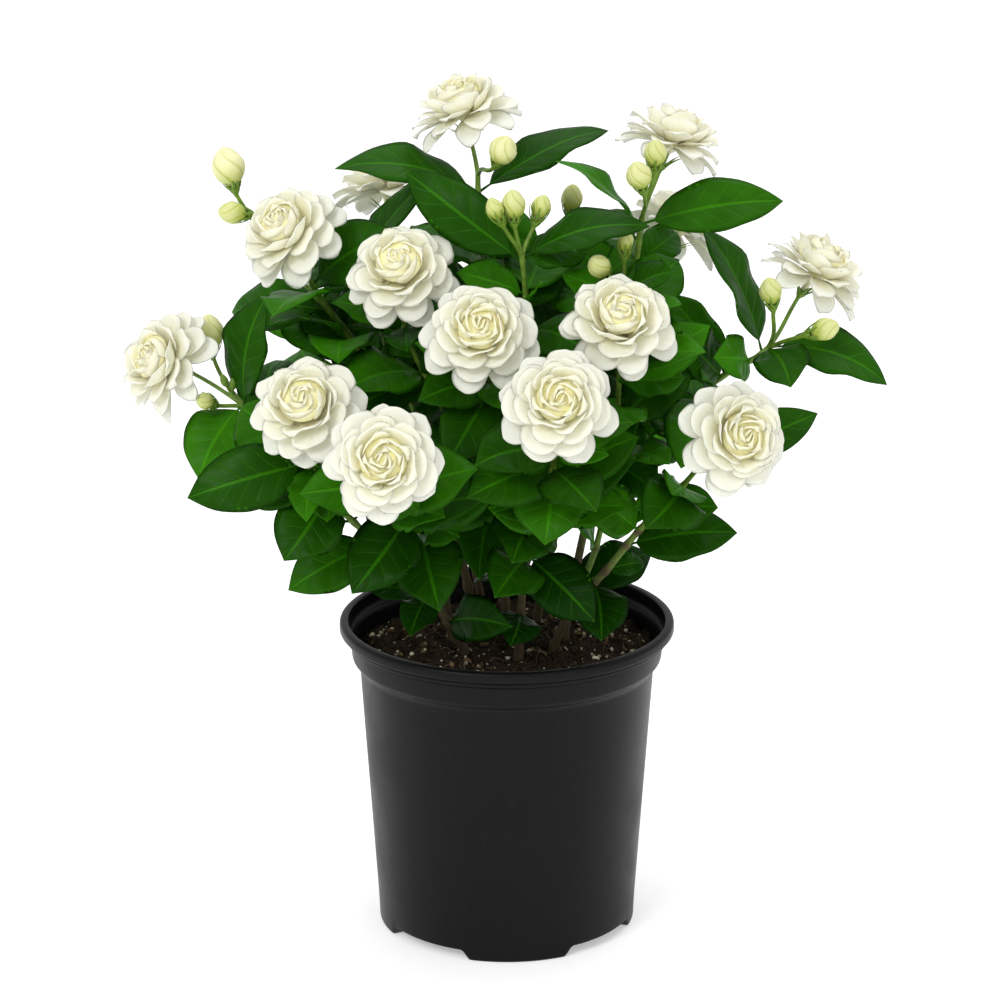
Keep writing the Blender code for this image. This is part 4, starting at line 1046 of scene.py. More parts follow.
def pot_profile(pot):
    """Corners of the wall's section from the floor inside, over the rim and down to the base.

    Each is a radius, a height and the radius of its rounding.
    """
    top, rim, base = pot.height / MM, pot.rim_radius / MM, pot.base_radius / MM
    return (
        (base - WALL - 2.0, FLOOR_INSIDE, 2.0),
        (NECK_RADIUS - WALL, top - NECK_DROP, 3.0),
        (COLLAR_RADIUS - 1.0 - WALL, top - COLLAR_DROP, 3.0),
        (COLLAR_RADIUS - WALL, top - LEDGE_DROP - 2.0, 2.0),
        (RIM_MOUTH, top - LEDGE_DROP + 1.6, 1.5),
        (RIM_MOUTH, top, 1.3),
        (rim, top, 2.6),
        (rim, top - RIM_DROP, 1.1),
        (LEDGE_RADIUS - 1.2, top - RIM_DROP - 0.2, 0.4),
        (LEDGE_RADIUS, top - RIM_DROP - 0.9, 0.7),
        (LEDGE_RADIUS, top - LEDGE_DROP, 0.8),
        (COLLAR_RADIUS - 0.9, top - LEDGE_DROP - 0.2, 0.4),
        (COLLAR_RADIUS, top - LEDGE_DROP - 1.3, 0.8),
        (COLLAR_RADIUS - 1.0, top - COLLAR_DROP, 1.6),
        (NECK_RADIUS, top - NECK_DROP, 2.4),
        (base, BASE_BAND, 8.0),
        (base - 0.5, 0.0, 1.6),
        (NOTCH_INNER + 1.2, 0.0, 0.2),
        (NOTCH_INNER, 0.0, 0.2),
    )


def rounded(corners):
    """A section through corners, each replaced by a quadratic curve between the two points at
    its rounding's distance from it, so that the curve leaves along both sides."""
    corners = np.array(corners, float)
    places, reach = corners[:, :2], corners[:, 2]
    t = np.linspace(0, 1, CORNER_STEPS)[:, None]
    run = [places[:1]]
    for before, here, after, size in zip(places, places[1:], places[2:], reach[1:]):
        start = here + (before - here) * min(size / np.linalg.norm(before - here), 0.5)
        end = here + (after - here) * min(size / np.linalg.norm(after - here), 0.5)
        run.append(start * (1 - t) ** 2 + 2 * here * t * (1 - t) + end * t ** 2)
    run.append(places[-1:])
    return np.concatenate(run)


def notch_lift(angle):
    """Height of the base's edge round the pot: a smooth step up into each notch and down."""
    quarter = 2 * math.pi / FEET
    off = np.abs((angle - NOTCH_TURN + math.pi / 2 + quarter / 2) % quarter - quarter / 2)
    half = NOTCH_WIDE / 2 / BASE_RADIUS
    t = np.clip((half - off) / NOTCH_EASE + 0.5, 0, 1)
    return NOTCH_HEIGHT * t * t * (3 - 2 * t)


def pot_rings(pot):
    """The wall's section turned about Z. Near the base each point is raised by the notch's
    height times its nearness to the ground, so the notches cut into the wall and under it."""
    section = rounded(pot_profile(pot))
    section = np.concatenate([[(0.0, FLOOR_INSIDE)], section, [(0.0, 0.0)]])
    dense = [section[:1]]
    for a, b in zip(section, section[1:]):
        count = max(1, int(np.linalg.norm(b - a) // POT_RING_STEP))
        dense.append(a + (b - a) * np.arange(1, count + 1)[:, None] / count)
    section = np.concatenate(dense)
    angle = all_round(POT_AROUND)
    radius, height = section[:, :1], section[:, 1:]
    outside = (np.arange(len(section)) > section[:, 1].argmax())[:, None]
    near = np.clip(1 - height / BASE_BAND, 0, 1) * outside * (radius > NOTCH_INNER + 0.6)
    height = height + near * notch_lift(angle)
    uv = stacked(angle / (2 * math.pi), height / POT_HEIGHT)
    return turned(radius, height, angle)[None], uv[None]


def drain_rings():
    """Upright cylinders over the notches, where the drain holes go through the floor."""
    turn = NOTCH_TURN + np.arange(FEET)[:, None, None] * 2 * math.pi / FEET
    radius = np.array((0.0, DRAIN_RADIUS, DRAIN_RADIUS, 0.0))[:, None]
    height = np.array((DRAIN_BOTTOM, DRAIN_BOTTOM, DRAIN_TOP, DRAIN_TOP))[:, None]
    middle = stacked(DRAIN_AT * np.sin(turn), -DRAIN_AT * np.cos(turn), 0)
    return middle + turned(radius, height, all_round(DRAIN_AROUND))


def drilled(piece):
    """Take the drain holes out of the pot's floor, with sharp edges."""
    rings = drain_rings()
    points = closed_points(rings)
    quads, fans = outward(points, *closed_faces(*rings.shape[:3]))
    mesh = bpy.data.meshes.new("drain_holes")
    mesh.from_pydata((points * MM).tolist(), [], quads.tolist() + fans.tolist())
    drill = linked("drain_holes", mesh)
    cut = piece.modifiers.new("Drain Holes", "BOOLEAN")
    cut.operation, cut.solver, cut.object = "DIFFERENCE", "EXACT", drill
    bpy.context.view_layer.update()
    graph = bpy.context.evaluated_depsgraph_get()
    whole = piece.data
    piece.data = bpy.data.meshes.new_from_object(piece.evaluated_get(graph), depsgraph=graph)
    piece.modifiers.clear()
    piece.data.set_sharp_from_angle(angle=SHARP)
    bpy.data.objects.remove(drill)
    bpy.data.meshes.remove(mesh)
    bpy.data.meshes.remove(whole)
    if not piece.data.polygons:
        raise RuntimeError("The drain holes took the whole pot away")


def plastic_finish(colour):
    """Moulded black plastic: satin, with a fine grain, faint scuffs and specks of dust."""
    finish, tree, shader = new_finish("pot_plastic", 0.36, 0.13)
    scuffs = patches_on(tree, 26.0, 6.0, 0.4, 0.75)
    specks = patches_on(tree, 420.0, 2.0, 0.62, 0.72)
    tone = mixed(tree, maths(tree, "MULTIPLY", scuffs, 0.35), shade(colour), shade(colour, 1.7))
    tone = mixed(tree, maths(tree, "MULTIPLY", specks, 0.1), tone, (0.03, 0.028, 0.026, 1))
    tree.links.new(tone, shader.inputs["Base Color"])
    rough = smooth_mask(tree, scuffs, 0.0, 1.0, 0.36, 0.46)
    tree.links.new(rough, shader.inputs["Roughness"])
    bump(tree, shader, patches_on(tree, 900.0, 2.0, 0.2, 0.8), 0.00005, 0.5)
    return finish


class PotSettings(bpy.types.PropertyGroup):
    height: FloatProperty(name="Height", description="Height of the pot", unit="LENGTH",
                          default=POT_HIGH.z)
    rim_radius: FloatProperty(name="Rim Radius", description="Outer radius of the rim",
                              unit="LENGTH", default=POT_HIGH.x)
    base_radius: FloatProperty(name="Base Radius", description="Outer radius of the base",
                               unit="LENGTH", default=BASE_RADIUS * MM)
    colour: FloatVectorProperty(name="Colour", description="Colour of the plastic",
                                subtype="COLOR", default=(0.0028, 0.0028, 0.0032))


class JASMINE_OT_pot(bpy.types.Operator):
    """Turn the nursery pot with its rim, collar, feet and drain holes"""
    bl_idname = "jasmine.pot"
    bl_label = "Nursery Pot"

    def execute(self, context):
        pot = context.scene.jasmine_pot
        shell = Surface()
        shell.add(*pot_rings(pot))
        drilled(shell.make("nursery_pot", plastic_finish(pot.colour), "pot_plastic", "pot"))
        return {"FINISHED"}


# Soil

SOIL_EDGE = 146.0
SOIL_CROWN = 151.5
SOIL_RADIUS = 78.2
SOIL_RINGS = 80
SOIL_AROUND = 300
WALL_CLEAR = 3.5
FIBRE_POINTS = 9
# Loose grains: name, least and greatest size, stretch, height of the middle over the ground,
# and the colours between which each takes its own
GRAINS = (
    ("perlite", (0.45, 1.7), (1.0, 0.85, 0.7), 0.5, (0.45, 0.37, 0.26), (0.88, 0.8, 0.66)),
    ("bark", (1.0, 3.6), (1.0, 0.42, 0.25), 0.4, (0.028, 0.014, 0.008), (0.3, 0.19, 0.1)),
    ("crumbs", (0.5, 1.9), (1.0, 0.8, 0.6), 0.2, (0.008, 0.005, 0.003), (0.06, 0.034, 0.02)),
)


class Lumps:
    """Heights of lumpy ground: a sum of waves in random directions, the longer the higher."""

    def __init__(self, draw, count=70):
        length = np.exp(draw.uniform(math.log(2.5), math.log(30), count))
        turn = draw.uniform(0, 2 * math.pi, count)
        self.pull = np.stack([np.cos(turn), np.sin(turn)], axis=1) * 2 * math.pi / length[:, None]
        self.phase = draw.uniform(0, 2 * math.pi, count)
        self.height = 0.035 * length ** 0.75

    def at(self, x, y):
        waves = x[..., None] * self.pull[:, 0] + y[..., None] * self.pull[:, 1] + self.phase
        return (np.sin(waves) * self.height).sum(axis=-1)


def soil_height(x, y, lumps):
    """Ground that falls from its crown to the wall, plus the lumps."""
    share = np.clip(np.hypot(x, y) / SOIL_RADIUS, 0, 1)
    return SOIL_CROWN - 0.5 + (SOIL_EDGE - SOIL_CROWN) * share ** 2 + lumps.at(x, y)


def soil_rings(lumps):
    """Polar grid of the ground, then down the wall to the floor."""
    radius, angle = np.linspace(0, SOIL_RADIUS, SOIL_RINGS)[:, None], all_round(SOIL_AROUND)
    x, y = radius * np.cos(angle), radius * np.sin(angle)
    ground = stacked(x, y, soil_height(x, y, lumps))
    low = ((NECK_RADIUS - WALL - 0.4, POT_HEIGHT - NECK_DROP - 2),
           (BASE_RADIUS - WALL - 3, FLOOR_INSIDE + GAP), (0, FLOOR_INSIDE + GAP))
    rings = np.concatenate([ground, [turned(r, z, angle) for r, z in low]])[::-1][None]
    return rings, rings[..., :2] / SOIL_RADIUS


def grain_rings(draw, places, sizes, stretch):
    """Rough lumps: small spheres whose points are pushed in and out, stretched and turned."""
    count, rings, around = len(places), 5, 6
    down = np.linspace(0, math.pi, rings)[:, None]
    ball = turned(np.sin(down), -np.cos(down), all_round(around))
    rough = draw.uniform(0.72, 1.2, (count, rings, around, 1))
    lumps = ball * rough * (sizes[:, None] * stretch)[:, None, None, :]
    spin = random_turns(draw, count)
    return np.einsum("krai,kij->kraj", lumps, spin) + places[:, None, None, :]


def random_turns(draw, count):
    """Rotation matrices from random quaternions."""
    w, x, y, z = unit_rows(draw.normal(size=(count, 4))).T
    return np.stack([1 - 2 * (y * y + z * z), 2 * (x * y - z * w), 2 * (x * z + y * w),
                     2 * (x * y + z * w), 1 - 2 * (x * x + z * z), 2 * (y * z - x * w),
                     2 * (x * z - y * w), 2 * (y * z + x * w), 1 - 2 * (x * x + y * y)],
                    axis=1).reshape(-1, 3, 3)


def scattered(draw, lumps, count, raised):
    """Places on the ground, spread evenly over its disc and clear of the wall."""
    radius = (SOIL_RADIUS - WALL_CLEAR) * np.sqrt(draw.uniform(0, 1, count))
    angle = draw.uniform(0, 2 * math.pi, count)
    x, y = radius * np.cos(angle), radius * np.sin(angle)
    return np.stack([x, y, soil_height(x, y, lumps) + raised], axis=1)


def fibre_path(lumps, draw):
    """A thin root that wanders over the ground and lifts off it a little."""
    place = scattered(draw, lumps, 1, 0)[0, :2] * 0.9
    heading = draw.uniform(0, 2 * math.pi) + np.cumsum(draw.normal(0, 0.35, FIBRE_POINTS))
    step = draw.uniform(0.8, 2.0)
    x = place[0] + step * np.cumsum(np.cos(heading))
    y = place[1] + step * np.cumsum(np.sin(heading))
    inside = np.minimum(1, (SOIL_RADIUS - 3) / np.hypot(x, y))
    x, y = x * inside, y * inside
    rise = draw.uniform(0.4, 3.0) * np.sin(np.linspace(0, math.pi, FIBRE_POINTS))
    return np.stack([x, y, soil_height(x, y, lumps) + 0.1 + rise], axis=1)


def soil_finish(colour):
    """Moist potting mix: dark and light crumbs, and a rough matte bump."""
    finish, tree, shader = new_finish("potting_soil", 0.95, 0.2)
    broad = patches_on(tree, 90.0, 8.0, 0.38, 0.62)
    fine = patches_on(tree, 520.0, 6.0, 0.42, 0.66)
    tone = mixed(tree, broad, shade(colour, 0.45), shade(colour, 1.3))
    tone = mixed(tree, maths(tree, "MULTIPLY", fine, 0.6), tone, shade(colour, 2.6))
    tree.links.new(tone, shader.inputs["Base Color"])
    bump(tree, shader, fine, 0.0012, 0.9)
    return finish


def grain_finish(name, dark, light):
    """Loose grains: each has its own tone between two colours, with a pitted bump."""
    finish, tree, shader = new_finish(name, 0.9, 0.25)
    pits = patches_on(tree, 700.0, 4.0, 0.35, 0.7)
    tone = mixed(tree, value_of(tree, "tint"), shade(dark), shade(light))
    tone = mixed(tree, maths(tree, "MULTIPLY", pits, 0.35), tone, shade(dark, 0.6))
    tree.links.new(tone, shader.inputs["Base Color"])
    bump(tree, shader, pits, 0.0004, 0.8)
    return finish


class SoilSettings(bpy.types.PropertyGroup):
    colour: FloatVectorProperty(name="Colour", description="Mean colour of the potting mix",
                                subtype="COLOR", default=(0.027, 0.015, 0.009))
    perlite: IntProperty(name="Perlite Grains", description="White grains on the ground",
                         default=330, min=1)
    bark: IntProperty(name="Bark Chips", description="Chips of bark on the ground", default=260,
                      min=1)
    fibres: IntProperty(name="Fibres", description="Thin roots on the ground", default=110,
                        min=1)
    crumbs: IntProperty(name="Crumbs", description="Dark crumbs on the ground", default=1300,
                        min=1)


class JASMINE_OT_soil(bpy.types.Operator):
    """Lay the potting soil and scatter perlite, bark and crumbs on it"""
    bl_idname = "jasmine.soil"
    bl_label = "Potting Soil"

    def execute(self, context):
        soil = context.scene.jasmine_soil
        draw = np.random.default_rng(SEED)
        lumps = Lumps(draw)
        ground = Surface()
        ground.add(*soil_rings(lumps))
        ground.make("potting_soil", soil_finish(soil.colour), "soil", "soil")
        for kind, (least, most), stretch, raised, dark, light in GRAINS:
            name, count = "soil_" + kind, getattr(soil, kind)
            places = scattered(draw, lumps, count, raised)
            size = least + (most - least) * draw.uniform(0, 1, count) ** 2.2
            rings = grain_rings(draw, places, size, np.array(stretch))
            tint = draw.uniform(0, 1, count)[:, None, None] ** 1.6
            loose = Surface()
            loose.add(rings, rings[..., :2] / SOIL_RADIUS, tint=tint)
            loose.make(name, grain_finish(name, dark, light), "soil")
        fibres = Surface()
        for tint in draw.uniform(0, 1, soil.fibres):
            path = fibre_path(lumps, draw)
            rings = tube_rings(path, 0.2 - 0.1 * np.linspace(0, 1, len(path)), 5)
            fibres.add(rings, tube_uv(rings, path), tint=tint)
        finish = grain_finish("soil_fibres", (0.05, 0.026, 0.014), (0.34, 0.22, 0.13))
        fibres.make("soil_fibres", finish, "soil")
        return {"FINISHED"}


# Twigs

TWIG_AROUND = 12
NODE_SWELL = 0.28
NODE_REACH = 2.4
# A stem starts below the soil and is thicker at the height of the ground
STEM_SUNK = 142.0
FOOT_HEIGHT = 150.0
FOOT_SWELL = 0.5
FOOT_REACH = 7.0
# Wood is old at this radius or more, and fresh green above this height
OLD_RADIUS = 2.2
FRESH_HEIGHT = 330.0
FRESH_FADE = 190.0


def shoot_tube(name, roots):
    """A shoot along its smooth path, a little thicker at each node and at its foot."""
    path = smooth_path(SHOOTS[name][3], TUBE_STEP)
    radii = np.linspace(SHOOTS[name][1], SHOOTS[name][2], len(path))
    if name in first_shoots():
        x, y, _ = SHOOTS[name][3][0]
        path = np.concatenate([[(x, y, STEM_SUNK)], path])
        radii = np.concatenate([radii[:1], radii])
        radii = radii + FOOT_SWELL * np.exp(-((path[:, 2] - FOOT_HEIGHT) / FOOT_REACH) ** 2)
    if len(roots):
        near = np.linalg.norm(path[:, None] - roots[None], axis=2).min(axis=1)
        radii = radii * (1 + NODE_SWELL * np.exp(-(near / NODE_REACH) ** 2))
    low = np.clip((FRESH_HEIGHT - path[:, 2]) / FRESH_FADE, 0, 1)
    age = np.clip(radii / OLD_RADIUS, 0, 1) ** 2 * low ** 0.6
    rings = tube_rings(path, radii, TWIG_AROUND)
    age = np.concatenate([age[:1], age, age[-1:]])[None, :, None]
    return rings, tube_uv(rings, path), age


def first_shoots():
    """The first shoot of each stem, which stands in the soil."""
    seen = {}
    for name, (stem, _, _, _) in SHOOTS.items():
        seen.setdefault(stem, name)
    return list(seen.values())


def gentle_stalk(stalk, axis):
    """The stalk with its ends turned towards each other, so that it bends only one way."""
    start, end = stalk[0], stalk[-1]
    way = unit(end - start)
    return stalk_path(start, unit(unit(stalk[1] - start) + way), end, unit(axis + way))


def twig_finish(bark, green):
    """Brown bark with long cracks on old wood, smooth green on young shoots."""
    finish, tree, shader = new_finish("twig_bark", 0.6, 0.4)
    age = value_of(tree, "age")
    streaks = streaks_on(tree, 9.0, 0.16)
    patches = patches_on(tree, 240.0, 5.0, 0.35, 0.7)
    wood = mixed(tree, streaks, shade(bark, 0.45), shade(bark, 1.6))
    young = mixed(tree, patches, shade(green, 0.75), shade(green, 1.25))
    worn = maths(tree, "ADD", age, maths(tree, "MULTIPLY", patches, 0.25), clamp=True)
    tone = mixed(tree, smooth_mask(tree, worn, 0.4, 0.9), young, wood)
    tree.links.new(tone, shader.inputs["Base Color"])
    tree.links.new(smooth_mask(tree, age, 0.0, 0.8, 0.45, 0.85), shader.inputs["Roughness"])
    bump(tree, shader, maths(tree, "MULTIPLY", streaks, age), 0.0008, 0.8)
    return finish


class TwigSettings(bpy.types.PropertyGroup):
    bark: FloatVectorProperty(name="Bark", description="Colour of old wood", subtype="COLOR",
                              default=(0.085, 0.06, 0.03))
    green: FloatVectorProperty(name="Green", description="Colour of young shoots and calyxes",
                               subtype="COLOR", default=(0.14, 0.25, 0.025))


# Calyxes

# Two tiny green buds: shoot, centre and axis
TINY_BUDS = (
    ("far_left", (-141.3, -20, 296.1), (-0.3, -0.2, 0.9)),
    ("far_left", (-137.0, -18, 293.9), (0.15, -0.1, 1)),
)
TINY_LENGTH = 7.5
TINY_STALK = 0.55
CUP_AROUND = 16
SEPAL_ACROSS = 4
SEPAL_STATIONS = np.array([0.0, 0.02, 0.2, 0.4, 0.6, 0.78, 0.92, 1.0])
SEPAL_ROOT_RADIUS = 2.35
SEPAL_ROOT_HEIGHT = 2.6
SEPAL_HALF = 0.95
SEPAL_HALF_THICK = 0.34


def sepal_rings(count, length, lean, reached, draw):
    """Narrow blades round a cup, bent from one lean to another and drawn out to a point."""
    s = SEPAL_STATIONS
    v, off = blade_section(SEPAL_ACROSS)
    turn = np.arange(count) * 2 * math.pi / count + draw.uniform(-0.12, 0.12, count)
    long = length * draw.uniform(0.85, 1.1, count)[:, None]
    tilt = np.radians(lean + (reached - lean) * s) + draw.uniform(-0.08, 0.08, count)[:, None]
    step = np.diff(s, prepend=0.0)
    radius = SEPAL_ROOT_RADIUS + np.cumsum(np.sin(tilt) * step, axis=1) * long
    height = SEPAL_ROOT_HEIGHT + np.cumsum(np.cos(tilt) * step, axis=1) * long
    half = SEPAL_HALF * (1 - s) ** 0.7 + 0.06
    thick = SEPAL_HALF_THICK * (1 - 0.7 * s)
    rings = blades_round(turn, tilt, radius, height, (half[:, None] * v)[None],
                         (thick[:, None] * off)[None])
    return rings, blade_uv(s, v)


def cup_rings():
    """The calyx's cup: a turned section from the stalk up to a rim and back to a flat floor."""
    section = np.array(((0.0, -1.5), (1.0, -1.2), (1.15, -0.4), (1.5, 0.3), (2.3, 1.4),
                        (2.75, 2.6), (2.85, 3.7), (2.6, 4.1), (2.2, 4.1), (0.0, 4.1)))
    radius, height, angle = section[:, :1], section[:, 1:], all_round(CUP_AROUND)
    return turned(radius, height, angle)[None], stacked(angle / (2 * math.pi), height / 8)[None]


def tiny_bud(shoot, centre, axis):
    """A green bud a few millimetres long and its stalk, each as rings and their path."""
    end = shoot_path(shoot)
    foot = np.array(centre, float) - unit(axis) * 3.5
    stalk = stalk_path(end[-2], unit(end[-1] - end[-3]), foot, unit(axis))
    stalk = smooth_path(stalk, TUBE_STEP)
    t = np.linspace(0, 1, 12)
    bud = foot + np.outer(t * TINY_LENGTH - 0.4, unit(axis))
    swell = TINY_STALK + 1.5 * np.sin(math.pi * t ** 0.8) ** 0.8
    return ((tube_rings(stalk, TINY_STALK, TWIG_AROUND), stalk),
            (tube_rings(bud, swell * (1 - 0.5 * t ** 6), TWIG_AROUND), bud))


def calyx_finish(green):
    """Fresh green in lighter and darker ribs."""
    finish, tree, shader = new_finish("calyx_green", 0.5, 0.4)
    streaks = streaks_on(tree, 10.0, 2.0)
    tone = mixed(tree, streaks, shade(green, 0.7), shade(green, 1.5))
    tree.links.new(tone, shader.inputs["Base Color"])
    let_light_in(shader, 0.15, (0.4, 1.0, 0.2), 0.001)
    bump(tree, shader, streaks, 0.0002, 0.6)
    return finish


class JASMINE_OT_twigs(bpy.types.Operator):
    """Grow the stems, their side shoots, the flower stalks and the calyxes"""
    bl_idname = "jasmine.twigs"
    bl_label = "Stems and Calyxes"

    def execute(self, context):
        twigs = context.scene.jasmine_twigs
        draw = np.random.default_rng(SEED + 1)
        bark = twig_finish(twigs.bark, twigs.green)
        green = calyx_finish(twigs.green)
        stalks = plan_stalks()
        for stem in dict.fromkeys(entry[0] for entry in SHOOTS.values()):
            roots = np.array([leaf.root for owner, leaf in PLAN["leaves"] if owner == stem])
            wood, cups = Surface(), Surface()
            for name, entry in SHOOTS.items():
                if entry[0] == stem:
                    rings, uv, age = shoot_tube(name, roots)
                    wood.add(rings, uv, age=age)
            own = [entry for entry in stalks if entry[0] == stem]
            for _, stalk, foot, axis, length, lean in own:
                path = smooth_path(gentle_stalk(stalk, axis), TUBE_STEP)
                rings = tube_rings(path, np.linspace(1.15, 1.0, len(path)), TWIG_AROUND)
                wood.add(rings, tube_uv(rings, path), age=0.0)
                for rings, uv in (cup_rings(), sepal_rings(SEPALS, length, *lean, draw)):
                    cups.add(placed(rings, foot, axis), uv)
            for shoot, centre, axis in TINY_BUDS:
                if SHOOTS[shoot][0] == stem:
                    for rings, path in tiny_bud(shoot, centre, axis):
                        cups.add(rings, tube_uv(rings, path) * (1, 0.05))
            wood.make(stem + "_wood", bark, "foliage", stem)
            cups.make(stem + "_calyxes", green, "foliage")
        return {"FINISHED"}


# Leaves

LEAF_ACROSS = 8
LEAF_RINGS = 23
LEAF_BREADTH = 1.12
PETIOLE_BROAD = 0.75
BLADE_HALF_THICK = 0.22
PETIOLE_HALF_THICK = 0.55
UNDERSIDE = -0.01
# Painted shade: leaves whose tips are below the first height are dark as if in shade, and above
# the second in full colour
SHADED = 165.0
SUNLIT = 255.0


def leaf_rings(leaves, draw, waves):
    """Blades of many leaves at once.

    A point lies on the bowed midrib, plus the half width times v and a bend to the side, plus a
    lift along the leaf's normal: the fold, which rises from the rib and levels out; two waves,
    which grow towards the edge; the droop of the tip; and half the thickness above or below.
    """
    turn = np.linspace(0, math.pi, LEAF_RINGS)
    s = 0.5 - 0.5 * np.cos(turn) * (1 - 0.25 * np.sin(turn))
    s = (s - s[0]) / (s[-1] - s[0])
    v, off = blade_section(LEAF_ACROSS)
    count, at, wide = len(leaves), s[None, :, None], np.abs(v)
    root, along, normal, side, length, width, arch, phase = (
        np.array([getattr(leaf, key) for leaf in leaves])[:, None, None]
        for key in ("root", "along", "normal", "side", "length", "width", "arch", "phase"))
    u = np.clip((at - PETIOLE) / (1 - PETIOLE), 0, 1)
    blade = np.maximum(1 - np.abs(2 * u ** 0.88 - 1) ** 2.4, 0) ** (0.8 + 0.3 * u)
    half = np.maximum(width / 2 * LEAF_BREADTH * blade, PETIOLE_BROAD * (1 - at))
    bend, droop, level = (draw.uniform(low, high, count)[:, None, None]
                          for low, high in ((-0.05, 0.05), (0.0, 0.07), (0.25, 0.75)))
    fold = LEAF_FOLD * half * wide * (1 - level * wide)
    ripple = (np.sin(2 * math.pi * 1.9 * at + phase + 1.3 * np.sign(v))
              + 0.3 * np.sin(2 * math.pi * 3.7 * at + 2 * phase + 2.2 * np.sign(v)))
    wave = waves / MM * ripple * wide ** 1.7 * half / (width / 2)
    bow = arch * length * 4 * at * (1 - at) - droop * length * at ** 5
    thick = BLADE_HALF_THICK + PETIOLE_HALF_THICK * np.exp(-(at / 0.09) ** 2)
    lift = bow + fold + wave + thick * off
    sway = bend * length * 4 * at * (1 - at)
    rings = (root + (at * length)[..., None] * along + (v * half + sway)[..., None] * side
             + lift[..., None] * normal)
    return rings, blade_uv(s, v), (off < UNDERSIDE) * 1.0


def leaf_finish(deep, young):
    """Glossy green: paler rib and veins, patches of tone, a matte pale underside."""
    finish, tree, shader = new_finish("leaf_green", 0.3, 0.05)
    rib, veins, swell = grouped(tree, vein_group()).outputs
    patches = patches_on(tree, 55.0, 4.0, 0.3, 0.7)
    fine = patches_on(tree, 900.0, 3.0, 0.3, 0.7)
    tint, under = value_of(tree, "tint"), value_of(tree, "under")
    # Painted shade: low leaves have a low tint, which darkens them towards the deep green at
    # 0.45, as if in shade
    tone = mixed(tree, tint, shade(deep, 0.45), shade(young))
    tone = mixed(tree, maths(tree, "MULTIPLY", patches, 0.35), tone, shade(deep, 0.6))
    pale = mixed(tree, tint, shade(young, 1.35), shade(young, 2.1))
    tone = mixed(tree, maths(tree, "MULTIPLY", veins, 0.07), tone, pale)
    tone = mixed(tree, maths(tree, "MULTIPLY", rib, 0.27), tone, pale)
    below = mixed(tree, veins, shade(young, 1.1), shade(young, 1.6))
    tree.links.new(mixed(tree, under, tone, below), shader.inputs["Base Color"])
    gloss = mixed(tree, fine, (0.27, 0.27, 0.27, 1), (0.37, 0.37, 0.37, 1))
    gloss = mixed(tree, under, gloss, (0.6, 0.6, 0.6, 1))
    tree.links.new(gloss, shader.inputs["Roughness"])
    height = maths(tree, "SUBTRACT", maths(tree, "MULTIPLY", swell, 0.6),
                   maths(tree, "MAXIMUM", veins, rib))
    height = maths(tree, "ADD", height, maths(tree, "MULTIPLY", fine, 0.08))
    bump(tree, shader, height, 0.0005, 0.35)
    return finish


class LeafSettings(bpy.types.PropertyGroup):
    # The deep green at 0.45 of its strength is also the painted shade of the lowest leaves
    deep: FloatVectorProperty(name="Deep Green", description="Colour of an old leaf",
                              subtype="COLOR", default=(0.005, 0.042, 0.001))
    young: FloatVectorProperty(name="Young Green", description="Colour of a young leaf",
                               subtype="COLOR", default=(0.042, 0.215, 0.003))
    waves: FloatProperty(name="Waves", description="Height of the waves along a leaf's edge",
                         unit="LENGTH", default=0.0015)


class JASMINE_OT_leaves(bpy.types.Operator):
    """Unfold the leaves of every stem"""
    bl_idname = "jasmine.leaves"
    bl_label = "Leaves"

    def execute(self, context):
        settings = context.scene.jasmine_leaves
        draw = np.random.default_rng(SEED + 2)
        finish = leaf_finish(settings.deep, settings.young)
        for stem in dict.fromkeys(entry[0] for entry in SHOOTS.values()):
            own = [leaf for owner, leaf in PLAN["leaves"] if owner == stem]
            rings, uv, under = leaf_rings(own, draw, settings.waves)
            high = np.array([leaf.tip[2] for leaf in own])
            tint = 0.22 + 0.78 * draw.uniform(0, 1, len(own)) ** 1.3
            # Painted shade: leaves lower in the crown get a lower tint and so a darker green, as
            # if less light reached them
            tint = tint * np.clip((high - SHADED) / (SUNLIT - SHADED), 0, 1)
            blades = Surface()
            blades.add(rings, uv, tint=tint[:, None, None], under=under)
            blades.make(stem + "_leaves", finish, "foliage", stem)
        return {"FINISHED"}


# Blooms

# Layers of petals from the outside in: number, root radius, root height, length, width, lean
# from the axis at the root and at the tip, how far the tip rolls back in degrees, how closely
# a petal wraps the axis, how far one edge tucks under the next petal, and depth in the bloom
OPEN_LAYERS = (
    (8, 3.0, 13.6, 27.1, 18.0, 83, 106, 14, 0.15, 1.0, 0.00),
    (7, 3.0, 14.6, 24.0, 19.0, 75, 84, 16, 0.25, 1.2, 0.12),
    (7, 3.0, 15.6, 20.8, 18.5, 66, 52, 26, 0.55, 1.4, 0.25),
    (6, 5.0, 18.5, 17.0, 20.0, 70, 8, 24, 0.90, 1.8, 0.42),
    (5, 5.0, 20.8, 13.8, 19.5, 62, -14, 18, 1.00, 2.2, 0.60),
    (4, 4.0, 21.8, 12.4, 16.0, 50, -24, 14, 1.05, 2.2, 0.78),
    (3, 2.6, 22.6, 11.0, 12.0, 32, -22, 10, 1.10, 1.8, 0.90),
    (2, 1.0, 23.4, 9.4, 7.5, 14, -10, 6, 1.20, 1.2, 1.00),
)
DOMED_LAYERS = (
    (7, 3.0, 13.4, 27.0, 16.5, 92, 112, 10, 0.15, 1.0, 0.00),
    (7, 3.0, 14.2, 25.2, 17.5, 84, 90, 14, 0.20, 1.2, 0.10),
    (7, 3.0, 15.2, 21.6, 18.5, 76, 60, 20, 0.45, 1.4, 0.22),
    (6, 4.0, 15.6, 19.7, 21.0, 78, 4, 12, 0.90, 1.8, 0.34),
    (5, 4.0, 17.4, 17.2, 21.0, 68, -32, 8, 1.00, 2.2, 0.48),
    (4, 3.2, 18.8, 14.7, 17.0, 52, -42, 6, 1.05, 2.2, 0.66),
    (3, 2.2, 20.3, 12.2, 13.0, 36, -28, 6, 1.10, 1.8, 0.85),
    (2, 1.0, 21.8, 10.2, 8.0, 14, -10, 6, 1.20, 1.2, 1.00),
)
